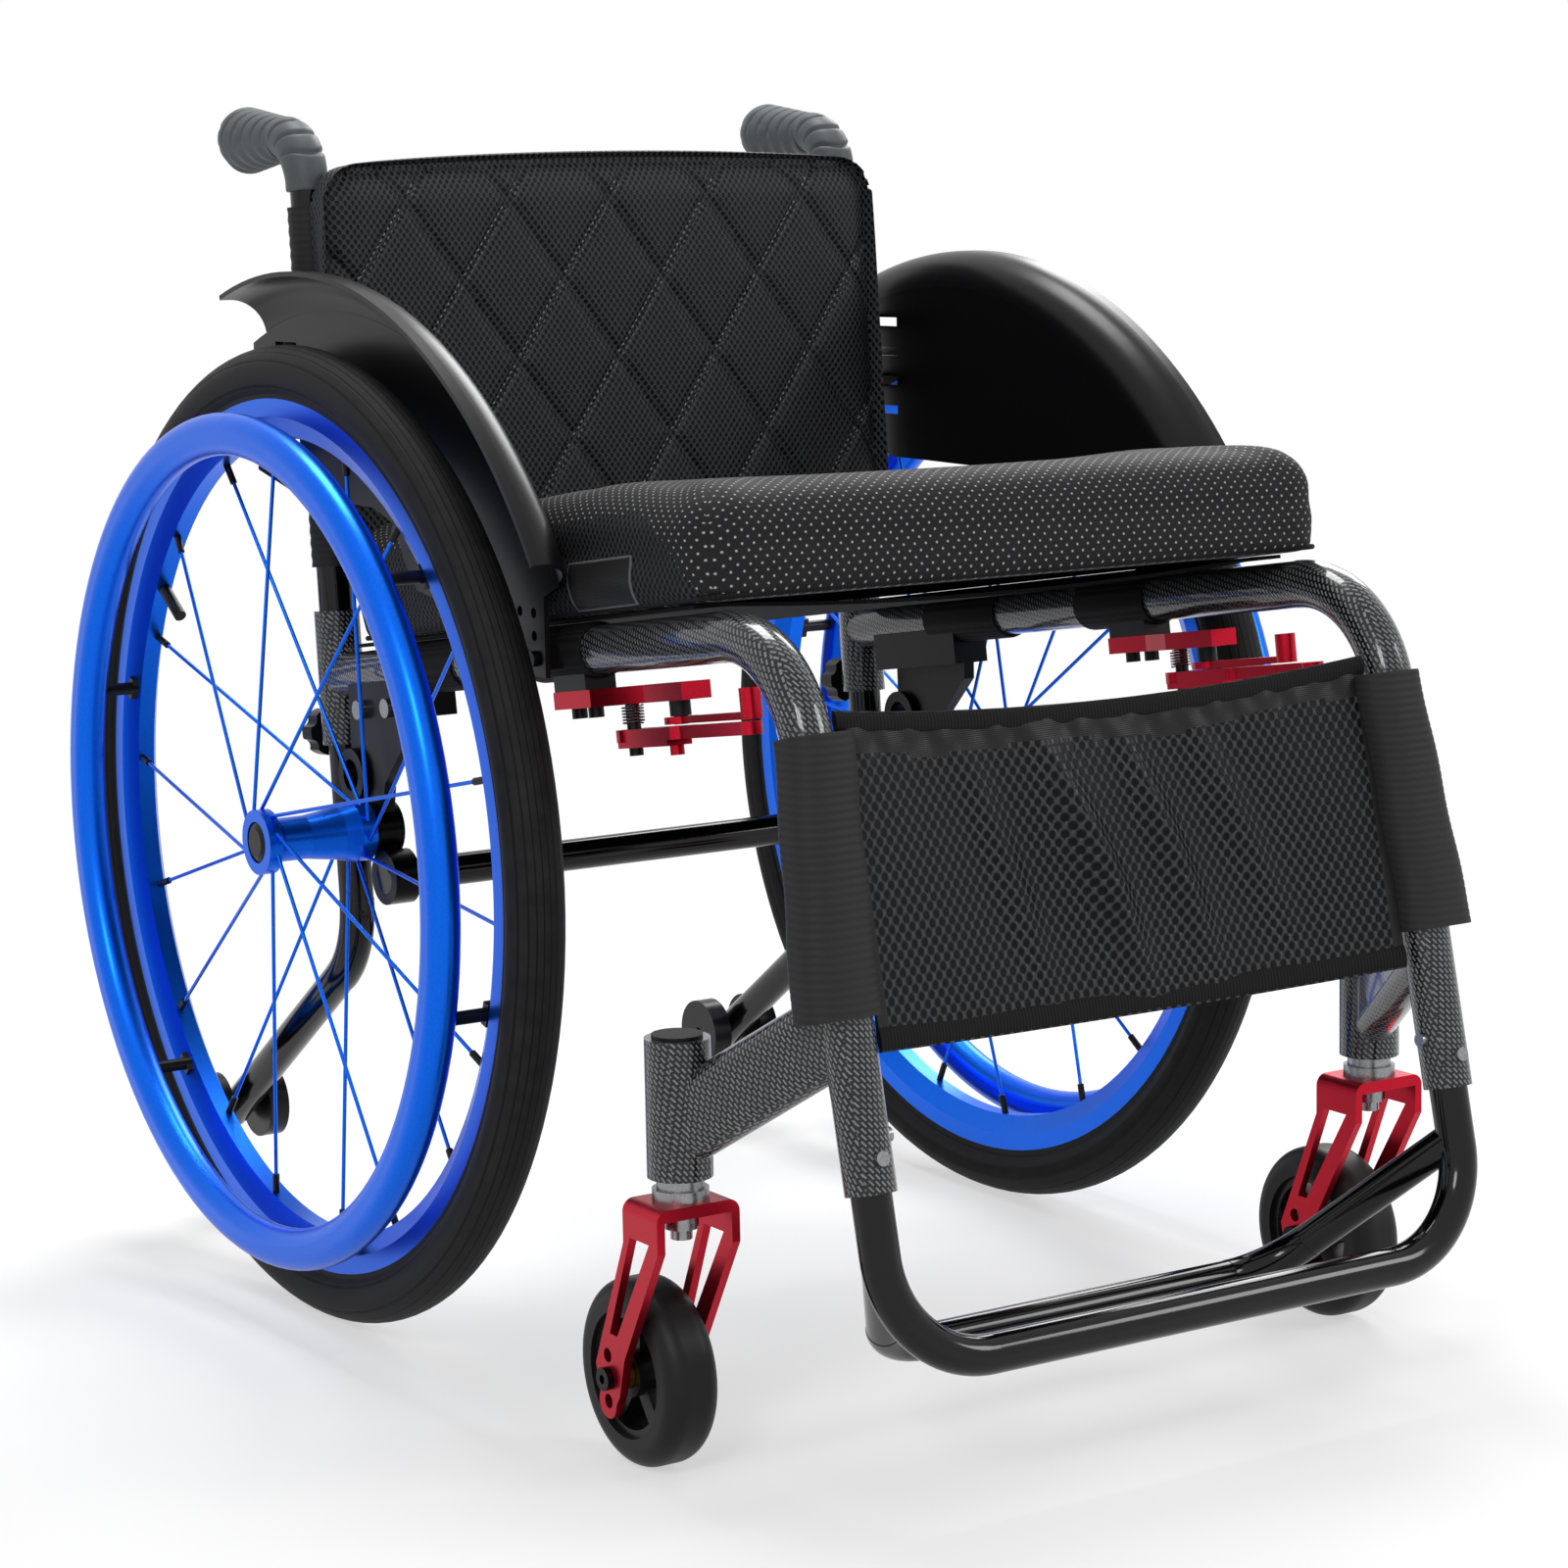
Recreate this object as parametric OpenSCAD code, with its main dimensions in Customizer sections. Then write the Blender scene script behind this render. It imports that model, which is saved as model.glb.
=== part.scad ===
// Sports wheelchair: rigid tube frame, quick-release rear wheels, swivel casters,
// scissor brakes, anti-tip arms, side guards, quilted back and seat cushion.
// Millimetres, +Z up, the user faces -Y, the origin is on the floor at the centre.

/* [Rear wheels] */
// Outer diameter of the rear tyre
tyre_d = 604; // [540:1:660]
// Width of the rear tyre
tyre_w = 34; // [25:1:40]
// Height of the tyre above the rim
tyre_h = 32; // [24:1:40]
// Width of the rim
rim_w = 24; // [18:1:28]
// Radial depth of the rim
rim_depth = 23; // [14:1:32]
// Distance from the rim's edge in to the push rim's edge
handrim_in = 7; // [0:1:20]
// Width of the push rim tube
handrim_w = 20; // [16:1:26]
// Extra radial depth of the oval push rim tube
handrim_oval = 6; // [0:1:12]
// Distance from the wheel plane out to the push rim
handrim_out = 41; // [34:1:60]
// Number of push rim posts
tab_count = 6; // [4:1:8]
// Diameter of a push rim post
tab_d = 8; // [6:0.5:12]
// Number of spokes
spoke_count = 18; // [12:2:36]
// Diameter of a spoke
spoke_d = 2.4; // [1.8:0.1:3]
// Distance from the seat rail out to the wheel plane
wheel_out = 58; // [50:1:80]

/* [Rear hubs] */
// Hub length on the outer side of the wheel plane
hub_out = 36; // [28:1:44]
// Hub length on the inner side of the wheel plane
hub_in = 38; // [28:1:44]
// Diameter of the outer hub flange
hub_outer_d = 40; // [32:1:48]
// Diameter of the inner hub flange
hub_inner_d = 38; // [32:1:48]
// Diameter of the hub waist
hub_waist_d = 27; // [20:1:30]
// Diameter of the quick-release axle
axle_d = 12; // [10:0.1:14]
// Diameter of the release button
button_d = 25; // [16:1:28]
// Travel of the release button
button_travel = 4; // [2:0.5:6]

/* [Frame] */
// Distance between the seat rail centres
rail_gap = 398; // [340:1:460]
// Outer diameter of the frame tubes
tube_d = 28; // [25:0.5:34]
// Diameter of the tubes that slide in the frame tubes
inner_d = 22; // [18:0.5:24]
// Height of the seat rail above the axle
rail_rise = 98; // [60:1:140]
// Seat slope, front up
seat_angle = 8; // [0:0.5:14]
// Lean of the front tubes from upright
front_angle = 12.9; // [5:0.1:25]
// Centre line radius of the front bend
bend_r = 70; // [50:1:90]
// Distance from the axle forward to the front corner
corner_fwd = 464; // [420:1:520]
// Length of the front tube below the corner
front_len = 295; // [260:1:330]
// Distance from the axle back to the rear post
post_back = 66; // [50:1:90]
// Length of the rear post above the rail
post_up = 42; // [30:1:60]
// Length of the rear post below the rail
post_down = 43; // [36:1:60]
// Lean of the back posts from upright
back_angle = 4.3; // [0:0.1:15]

/* [Axle plates] */
// Distance from the seat rail out to the axle plate centre
plate_out = 9; // [6:1:14]
// Thickness of the axle plate
plate_t = 8; // [5:0.5:10]
// Width of the clamp rings
ring_w = 17; // [12:0.5:18]
// Outer diameter of the clamp rings
ring_d = 34; // [30:1:38]
// Distance between the clamp rings
ring_pitch = 38.6; // [36:0.1:44]
// Distance from the axle down to the camber tube clamp
clamp_pitch = 34; // [31:0.5:40]
// Lean of the line of clamp rings from upright
ring_angle = 35; // [20:1:45]
// Diameter of the camber tube
camber_d = 20; // [18:0.5:26]

/* [Casters] */
// Diameter of the caster wheel
caster_d = 105; // [90:1:125]
// Width of the caster wheel
caster_w = 33; // [24:1:36]
// Distance from the stem back to the caster axle
caster_trail = 38; // [25:1:50]
// Distance from the rail out to the caster stem
stem_out = 44; // [36:1:60]
// Distance from the axle forward to the caster stem
stem_fwd = 412; // [380:1:440]
// Outer diameter of the stem housing
housing_d = 36; // [30:1:40]
// Length of the stem housing
housing_len = 76; // [60:1:100]
// Depth of the housing's lower end below the wheel axle
housing_drop = 132; // [120:1:150]
// Diameter of the stem
stem_d = 12; // [10:0.5:14]
// Height of the washers between the housing and the fork
washer_h = 12.5; // [6:0.5:16]
// Width of the fork outside
fork_w = 52; // [50:1:64]
// Thickness of the fork legs
fork_t = 5; // [4:0.5:7]

/* [Footrest] */
// Depth of the footrest bar below the sockets
foot_drop = 93.5; // [70:0.5:120]
// Corner radius of the footrest bars
foot_r = 60; // [40:1:80]
// Corner radius of the rear footrest bar
foot_back_r = 50; // [35:1:60]
// Distance from the rear bar's joints down to the rear bar, along its plane
foot_back_len = 125; // [100:1:140]
// Slope of the rear bar's legs toward the middle
foot_splay = 27; // [10:1:35]
// Height of the rear bar's joints above the front bar, along the legs
foot_joint = 65; // [60:1:75]
// Lean of the rear bar's plane
foot_tilt = 45.5; // [30:0.5:55]
// Diameter of the rear footrest bar
foot_bar_d = 20; // [16:0.5:21.5]
// Length of the footrest legs inside the sockets
foot_in = 60; // [45:1:80]

/* [Back and push grips] */
// Height of the back pad's lower edge along the back tube
pad_low = 66; // [50:1:90]
// Height of the back pad's upper edge along the back tube
pad_high = 318; // [260:1:360]
// Width of the back pad
pad_w = 406; // [340:1:420]
// Thickness of the back pad
pad_t = 25; // [20:1:34]
// Width of a quilted diamond
diamond_w = 74; // [50:1:100]
// Height of a quilted diamond
diamond_h = 103; // [70:1:130]
// Depth of the quilting
quilt_depth = 5; // [2:0.5:8]
// Height of the push grip's lower end along the back tube
grip_low = 315; // [250:1:360]
// Diameter of the push grip collar
grip_d = 29; // [27:0.5:34]
// Height of the push grip collar
grip_neck = 8; // [6:1:30]
// Bend radius of a push grip
grip_bend_r = 24; // [20:1:40]
// Length of the push grip behind its bend
grip_len = 75; // [60:1:110]
// Diameter of the push grip's round end
grip_end_d = 38; // [32:1:44]

/* [Seat] */
// Overhang of the cushion outside the seat rail
cushion_over = 20; // [5:1:24]
// Depth of the cushion
cushion_len = 438; // [380:1:440]
// Thickness of the cushion
cushion_t = 64; // [40:1:70]
// Thickness of the seat sling
sling_t = 2.4; // [1.6:0.1:4]
// Crown of the cushion top
crown = 7; // [2:1:14]

/* [Side guards] */
// Distance from the seat rail out to the guard's inner face
guard_out = 25.5; // [22:0.5:30]
// Thickness of the guard
guard_t = 3; // [2:0.5:4]
// Gap between the tyre and the guard rim
guard_gap = 44; // [30:1:60]
// Width of the guard's curled rim
guard_curl = 31; // [20:1:40]
// Radius of the guard's shoulder
guard_round = 24; // [12:1:28]

/* [Calf strap] */
// Distance from the corner down to the strap sleeves
sleeve_top = 66; // [64:1:100]
// Length of the strap sleeves
sleeve_len = 136; // [100:1:160]
// Thickness of the strap sleeves
sleeve_t = 3.6; // [2:0.2:6]
// Distance from the corner down to the strap's upper edge
strap_top = 44; // [36:1:60]
// Height of the strap
strap_len = 180; // [150:1:186]
// Sag of the strap's upper edge
strap_sag = 9; // [0:1:30]
// Thickness of the strap
strap_t = 2.4; // [1.6:0.1:4]

/* [Brakes] */
// Distance from the rail in to the lever pivot
lever_in = 4; // [0:1:8]
// Distance from the rail in to the shoe pivot
shoe_in = 13; // [10:1:18]
// Distance from the axle forward to the lever pivot
lever_fwd = 290; // [280:1:296]
// Distance from the axle forward to the shoe pivot
shoe_fwd = 327; // [324:1:334]
// Length of the brake lever
lever_len = 123; // [100:1:140]
// Length of the shoe arm
shoe_len = 74; // [66:1:76]
// Diameter of the brake shoe
shoe_d = 12; // [10:1:14]
// Depth of the brake bar's lower face below the rail's centre
brake_drop = 32; // [30:1:36]
// Number of turns in the return spring
spring_turns = 6; // [4:1:7]
// Wire diameter of the return spring
spring_wire = 1.1; // [0.8:0.1:1.2]

/* [Anti-tip arms] */
// Distance from the rail down to the anti-tip bend
tip_drop = 177; // [150:1:200]
// Slope of the anti-tip arm below level
tip_angle = 35; // [25:1:45]
// Length of the anti-tip arm behind the bend
tip_len = 246; // [180:1:280]
// Diameter of the anti-tip rollers
roller_d = 48; // [36:1:56]
// Diameter of the star knob
knob_d = 31; // [24:1:40]

/* [Fits] */
// Radial clearance of running and sliding fits
run_gap = 0.05; // [0.02:0.01:0.1]
// Clearance between pieces that lie close together
near_gap = 0.3; // [0.2:0.05:0.6]

/* [Hidden] */
$fn = 48;
axle_z = tyre_d / 2;
rim_d = tyre_d - 2 * tyre_h;
handrim_d = rim_d - 2 * handrim_in;
rail_x = rail_gap / 2;
wheel_x = rail_x + wheel_out;
plate_x = rail_x + plate_out;
caster_x = rail_x + stem_out;
guard_x = rail_x + guard_out;
rail_z = axle_z + rail_rise;
corner_z = rail_z + corner_fwd * tan(seat_angle);
turn = 90 - front_angle + seat_angle;
bend_t = bend_r * tan(turn / 2);
foot_y = corner_fwd + (front_len + foot_drop) * sin(front_angle);
foot_z = corner_z - (front_len + foot_drop) * cos(front_angle);
axle_y = (foot_y + inner_d / 2 - tyre_d / 2) / 2;
post_z = rail_z - post_back * tan(seat_angle);
housing_z = axle_z - housing_drop;
fork_top = housing_z - washer_h;
caster_r = caster_d / 2;
tube_bore = inner_d + 2 * run_gap;
ring_dy = ring_pitch * sin(ring_angle);
ring_dz = ring_pitch * cos(ring_angle);
clamp_dy = clamp_pitch * sin(ring_angle);
clamp_dz = clamp_pitch * cos(ring_angle);
plate_face = ring_w / 2;
hub_gap = wheel_x - hub_in - plate_x - plate_face;

// Right side as drawn, left side as its mirror image
module right() { translate([0, axle_y, 0]) children(); }
module left() { translate([0, axle_y, 0]) mirror([1, 0, 0]) children(); }
module both() {
  right() children();
  left() children();
}

// Local frames on the right side
module at_seat() { translate([0, 0, rail_z]) rotate([-seat_angle, 0, 0]) children(); }
module at_corner() { translate([-rail_x, -corner_fwd, corner_z]) rotate([-front_angle, 0, 0]) children(); }
module at_post() { translate([-rail_x, post_back, post_z]) rotate([-back_angle, 0, 0]) children(); }
module at_wheel() { translate([-wheel_x, 0, axle_z]) rotate([0, -90, 0]) children(); }
module at_stem() { translate([-caster_x, -stem_fwd, 0]) children(); }
module at_caster() { at_stem() translate([0, caster_trail, caster_r]) rotate([0, -90, 0]) children(); }
module at_brake(fwd, in = 0) { at_seat() translate([in - rail_x, -fwd, -brake_drop]) children(); }
module side_plane() { rotate([90, 0, 90]) children(); }

// Rod between two points
module rod(p, q, d) {
  v = q - p;
  l = norm(v);
  translate(p) rotate([0, acos(v[2] / l), atan2(v[1], v[0])]) cylinder(d = d, h = l);
}

// Ring with a bore along Z
module ring(od, id, h) {
  difference() {
    cylinder(d = od, h = h);
    translate([0, 0, -1]) cylinder(d = id, h = h + 2);
  }
}

// Closed skin over a list of equal rings of points, with flat ends
module loft(rings) {
  n = len(rings[0]);
  m = len(rings);
  pts = [for (r = rings) for (p = r) p];
  sides = [for (i = [0 : m - 2]) for (j = [0 : n - 1]) for (t = [0, 1])
    t == 0 ? [i * n + j, (i + 1) * n + j, i * n + (j + 1) % n]
      : [i * n + (j + 1) % n, (i + 1) * n + j, (i + 1) * n + (j + 1) % n]];
  low = [[for (j = [0 : n - 1]) j]];
  high = [[for (j = [n - 1 : -1 : 0]) (m - 1) * n + j]];
  polyhedron(points = pts, faces = concat(sides, low, high), convexity = 4);
}

// Oval arm from the front tube to the stem housing, with an all-round allowance
module caster_arm(grow = 0) {
  from = [-caster_x, -stem_fwd, housing_z + 0.35 * housing_len];
  low = front_len - 88;
  to = [-rail_x, -corner_fwd - low * sin(front_angle), corner_z - low * cos(front_angle)];
  v = to - from;
  translate(from) rotate([0, 0, atan2(v[1], v[0])]) rotate([0, 90 - atan2(v[2], norm([v[0], v[1]])), 0])
    linear_extrude(norm(v)) union() {
      translate([-10, 0]) circle(d = 25 + 2 * grow);
      translate([10, 0]) circle(d = 25 + 2 * grow);
      square([20, 25 + 2 * grow], center = true);
    }
}

module side_frame() {
  difference() {
    union() {
      translate([-rail_x, -corner_fwd, corner_z]) rotate([-90 - seat_angle, 0, 0])
        translate([0, 0, bend_t - 0.5])
          cylinder(d = tube_d, h = (corner_fwd + post_back) / cos(seat_angle) - bend_t + 0.5);
      at_corner() translate([0, 0, -front_len]) cylinder(d = tube_d, h = front_len - bend_t + 0.5);
      translate([-rail_x, -corner_fwd + bend_t * cos(seat_angle) - bend_r * sin(seat_angle),
          corner_z - bend_t * sin(seat_angle) - bend_r * cos(seat_angle)])
        side_plane() rotate([0, 0, 90 - seat_angle]) rotate_extrude(angle = turn)
          translate([bend_r, 0]) circle(d = tube_d + 0.6);
      at_post() translate([0, 0, -post_down]) cylinder(d = tube_d + 1, h = post_down + post_up);
      at_post() translate([0, 0, -36]) rotate([-90, 0, 0]) cylinder(d = 15, h = tube_d / 2 + 3);
      translate([-caster_x, -stem_fwd, housing_z]) cylinder(d = housing_d, h = housing_len);
      caster_arm();
    }
    at_corner() translate([0, 0, -front_len - 1]) cylinder(d = tube_bore, h = foot_in + 51);
    at_post() translate([0, 0, -post_down - 1]) cylinder(d = tube_bore, h = post_down + post_up + 2);
    at_post() translate([0, 0, -36]) rotate([-90, 0, 0]) cylinder(d = 6 + 2 * run_gap, h = tube_d);
    translate([-caster_x, -stem_fwd, housing_z - 1]) cylinder(d = stem_d + 2 * run_gap, h = housing_len + 2);
    translate([-caster_x, -stem_fwd, housing_z + housing_len - 14]) cylinder(d = housing_d - 8, h = 15);
  }
}
module side_frame_right() { color("dimgray") right() side_frame(); }
module side_frame_left() { color("dimgray") left() side_frame(); }

module camber_tube() {
  half = plate_x + plate_face;
  color("black") translate([-half, axle_y - clamp_dy, axle_z - clamp_dz]) rotate([0, 90, 0])
    cylinder(d = camber_d, h = 2 * half);
}

module axle_plate() {
  saddle_h = tube_d / 2 + 16;
  difference() {
    union() {
      at_seat() translate([-rail_x - 13, -62, -saddle_h]) cube([26, 94, saddle_h - 6]);
      translate([-plate_x - plate_t / 2, 0, axle_z]) side_plane() linear_extrude(plate_t)
        polygon([[30, rail_rise - 19], [-50, rail_rise - 8], [-50, rail_rise - 34], [-16, 30], [-10, 0],
          [-clamp_dy - 4, -clamp_dz], [-clamp_dy + 12, -clamp_dz], [16, 0], [ring_dy + 6, ring_dz]]);
      for (q = [[ring_dy, ring_dz], [0, 0], [-clamp_dy, -clamp_dz]])
        translate([-plate_x - plate_face, q[0], axle_z + q[1]]) rotate([0, 90, 0])
          cylinder(d = ring_d, h = ring_w);
    }
    at_seat() translate([-rail_x, -80, 0]) rotate([-90, 0, 0]) cylinder(d = tube_d + 2 * run_gap, h = 130);
    for (q = [[ring_dy, ring_dz], [-clamp_dy, -clamp_dz]])
      translate([-plate_x - plate_face - 1, q[0], axle_z + q[1]]) rotate([0, 90, 0])
        cylinder(d = camber_d + 2 * run_gap, h = ring_w + 2);
    translate([-plate_x - plate_face - 1, 0, axle_z]) rotate([0, 90, 0])
      cylinder(d = axle_d + 2 * run_gap, h = ring_w + 2);
    at_post() translate([0, 0, -post_down - 1]) cylinder(d = tube_d + 2, h = post_down + post_up + 2);
  }
}
module axle_plates() { color("#33343a") both() axle_plate(); }

module plate_bolts() {
  color("silver") both() for (p = [[10, rail_rise - 24], [-28, rail_rise - 19]])
    translate([-plate_x - plate_t / 2 - 5, p[0], axle_z + p[1]]) rotate([0, 90, 0]) cylinder(d = 12, h = 5);
}

module wheel_axles() {
  far = plate_x - plate_face;
  end = hub_out - 12 - button_travel;
  color("lightsteelblue") both() translate([-wheel_x - end, 0, axle_z]) rotate([0, 90, 0]) difference() {
    cylinder(d = axle_d, h = wheel_x + end - far);
    translate([0, 0, -1]) cylinder(d = axle_d / 2 + 2 * run_gap, h = 20);
  }
}

module stem_caps() {
  color("black") both() translate([-caster_x, -stem_fwd, housing_z + housing_len - 10])
    cylinder(d = housing_d - 8 - 2 * run_gap, h = 12);
}

module back_tubes() {
  color("black") both() at_post() translate([0, 0, 4]) cylinder(d = inner_d, h = grip_low + grip_neck - 6);
}

module back_sling() {
  sleeve_r = inner_d / 2 + 2.5;
  side = sqrt(pow(sleeve_r, 2) - pow(sleeve_r - 1.7, 2)) + near_gap;
  tall = pad_high - pad_low - 30;
  color("#1c1c1e") {
    both() at_post() translate([0, 0, pad_low + 4])
      ring(inner_d + 5, inner_d + 2 * run_gap, tall);
    right() at_post() translate([side, -sleeve_r - 0.1, pad_low + 4])
      cube([2 * rail_x - 2 * side, 1.8, tall]);
  }
}

function quilt(u, v) = let (a = u / diamond_w + v / diamond_h, b = u / diamond_w - v / diamond_h,
    d = min(abs(a - round(a)), abs(b - round(b))))
  quilt_depth * max(0, 1 - pow(d / 0.26, 0.8));

// Front of the pad at a place across and up it, falling to the back at its edges
function pad_edge(e) = 1 - pow(max(0, 1 - e / 16), 2.4);
function pad_front(x, z, h) = let (ex = pad_w / 2 - abs(x), ez = min(z, h - z))
  max(3, pad_t * sqrt(max(0, pad_edge(ex) * pad_edge(ez)))
    - quilt(x, z - h / 2) * min(1, min(ex, ez) / 18));
module back_pad() {
  h = pad_high - pad_low;
  nx = 2 * round(pad_w / diamond_w * 4);
  nz = 2 * round(h / diamond_h * 4);
  xs = [for (i = [0 : nx]) pad_w * (i / nx - 0.5)];
  zs = [for (k = [0 : nz]) h * k / nz];
  front = [for (k = [0 : nz]) for (i = [0 : nx]) [xs[i], -pad_front(xs[i], zs[k], h), zs[k]]];
  w = nx + 1;
  rim = concat([for (i = [0 : nx]) i], [for (k = [1 : nz]) k * w + nx],
    [for (i = [nx - 1 : -1 : 0]) nz * w + i], [for (k = [nz - 1 : -1 : 1]) k * w]);
  nr = len(rim);
  back = [for (r = rim) [front[r][0], 0.6 * sin(720 * front[r][0] / pad_w) - 0.6, front[r][2]]];
  base = len(front);
  hub = base + nr;
  skin = [for (k = [0 : nz - 1]) for (i = [0 : nx - 1]) for (t = [0, 1])
    let (a = k * w + i, even = (i + k) % 2 == 0)
    even ? (t == 0 ? [a, a + w + 1, a + 1] : [a, a + w, a + w + 1])
      : (t == 0 ? [a, a + w, a + 1] : [a + 1, a + w, a + w + 1])];
  wall = [for (j = [0 : nr - 1]) for (t = [0, 1])
    let (p = rim[j], q = rim[(j + 1) % nr])
    t == 0 ? [p, q, base + j] : [q, base + (j + 1) % nr, base + j]];
  fan = [for (j = [0 : nr - 1]) [base + j, base + (j + 1) % nr, hub]];
  color("#161617") right() at_post() translate([rail_x, -inner_d / 2 - 2.6 - near_gap, pad_low])
    polyhedron(points = concat(front, back, [[0, -2, h / 2]]),
      faces = concat(skin, wall, fan), convexity = 6);
}

module push_grip() {
  r = grip_bend_r;
  bend = 90 - back_angle;
  l = grip_len - grip_end_d / 2;
  difference() {
    union() {
      cylinder(d = grip_d, h = grip_neck);
      translate([0, r, grip_neck]) rotate([0, 0, 180]) side_plane() rotate_extrude(angle = bend)
        translate([r, 0]) circle(d = grip_d + 2);
      translate([0, r - r * cos(bend), grip_neck + r * sin(bend)]) rotate([-bend, 0, 0])
        rotate_extrude() intersection() {
          union() {
            polygon([[0, 0], [grip_d / 2, 0], [grip_end_d / 2 - 0.6, l], [0, l]]);
            translate([0, l]) circle(d = grip_end_d);
          }
          square([grip_end_d, 2 * grip_len]);
        }
    }
    translate([0, 0, -1]) cylinder(d = inner_d + 2 * run_gap, h = grip_neck);
  }
}
module push_grips() { color("#55585a") both() at_post() translate([0, 0, grip_low]) push_grip(); }

module seat_sling() {
  low = tube_d / 2 + 2;
  front = corner_fwd * cos(seat_angle) - bend_t - 12;
  color("#19191b") {
    right() at_seat() translate([-rail_x - 13, -front, low + near_gap])
      cube([2 * rail_x + 26, front + post_back - 26, sling_t]);
    both() at_seat() translate([-rail_x, -165, 0]) rotate([-90, 0, 0])
      ring(tube_d + 4, tube_d + 2 * run_gap, 80);
  }
}

// Round-cornered outline with a corner radius, drawn in by an inset
function outline(w, l, r, inset, z) = let (n = 7, a = w / 2 - inset, b = l / 2 - inset,
    q = max(2, r - inset))
  [for (c = [0 : 3]) for (k = [0 : n]) let (an = 90 * c + 90 * k / n,
      cx = (c == 0 || c == 3 ? 1 : -1) * (a - q), cy = (c < 2 ? 1 : -1) * (b - q))
    [cx + q * cos(an), cy + q * sin(an), z]];
module seat_cushion() {
  w = rail_gap + 2 * cushion_over;
  t = cushion_t;
  low = tube_d / 2 + 2 + near_gap + sling_t + near_gap;
  l = cushion_len;
  r = 0.34 * t;
  rings = concat(
    [for (s = [0 : 4]) let (a = 90 * s / 4) outline(w, l, 18, 3 + 9 * (1 - sin(a)), 9 * (1 - cos(a)))],
    [outline(w, l, 18, 0, t * 0.3), outline(w, l, 18, 2, t * 0.45), outline(w, l, 18, 0, t * 0.6)],
    [for (s = [1 : 5]) let (a = 90 * s / 5)
      outline(w, l, 18, r * (1 - cos(a)), t - crown - r * (1 - sin(a)) + 1)],
    [for (s = [1 : 5]) let (f = s / 5)
      outline(w, l, 18, r + (w / 2 - r - 12) * f, t - crown + 1 + (crown - 1) * sin(90 * f))]);
  color("#202022") right() at_seat() translate([0, post_back - 48 - cushion_len / 2, low]) loft(rings);
}

// Side guard: flat wheel panel, rolled shoulder and rim above the tyre
module guard_profile(inner) {
  translate([inner - 6, 0.2]) square([7, guard_t - 0.4]);
  difference() {
    translate([inner, 0]) square([guard_round, guard_curl]);
    translate([inner - 1, guard_round]) square([guard_round - guard_t + 1, guard_curl]);
    intersection() {
      translate([inner - 1, guard_t]) square([guard_round - guard_t + 1, guard_round - guard_t + 0.01]);
      translate([inner, guard_round]) circle(r = guard_round - guard_t);
    }
    difference() {
      translate([inner, -1]) square([guard_round + 1, guard_round + 1]);
      translate([inner, guard_round]) circle(r = guard_round);
    }
  }
}
module guard() {
  edge = tyre_d / 2 + guard_gap;
  inner = edge - guard_round;
  tongue = rail_rise + 22;
  translate([-guard_x - guard_t, 0, axle_z]) side_plane() linear_extrude(guard_t) difference() {
    intersection() {
      circle(r = inner - 1, $fn = 96);
      polygon([[116, 219], [116, 330], [40, 400], [-200, 400], [-276, 300], [-276, 176], [-252, 166],
        [-252, tongue], [-212, tongue], [-208, 158], [-140, 152], [-98, 158], [-82, 176], [-70, 196],
        [-44, 204], [60, 206]]);
    }
    for (z = [238, 258, 278, 298]) translate([54, z - 3]) square([30, 6]);
    for (y = [-240, -224]) for (k = [0 : 2]) translate([y, tongue + 10 + 13 * k]) circle(d = 6);
  }
  translate([-guard_x, 0, axle_z]) rotate([0, -90, 0]) rotate([0, 0, -57])
    rotate_extrude(angle = 74.5, $fn = 96) guard_profile(inner);
}
module guard_right() { color("#2a2b2d") right() guard(); }
module guard_left() { color("#2a2b2d") left() guard(); }

module guard_clamp() {
  grow = guard_x - rail_x;
  for (z = [258, 298]) {
    s = (axle_z + z - post_z) / cos(back_angle);
    at_post() translate([0, 0, s - 7]) difference() {
      ring(inner_d + 10, inner_d + 5 + 2 * near_gap, 14);
      translate([-20, -29, -1]) cube([40, 20, 16]);
    }
    at_post() translate([-grow + near_gap, -5, s - 5]) cube([grow - inner_d / 2 - 4, 10, 10]);
  }
  for (y = [-240, -224]) translate([-guard_x - guard_t - 3, y, axle_z + rail_rise + 32]) rotate([0, 90, 0])
    cylinder(d = 9, h = 3);
  difference() {
    translate([-guard_x, -246, axle_z + rail_rise + 26]) cube([guard_out - 6, 28, 12]);
    at_seat() translate([-rail_x, -280, 0]) rotate([-90, 0, 0]) cylinder(d = tube_d + 2 * run_gap, h = 100);
  }
}
module guard_clamps() { color("#1a1a1a") both() guard_clamp(); }

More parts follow.
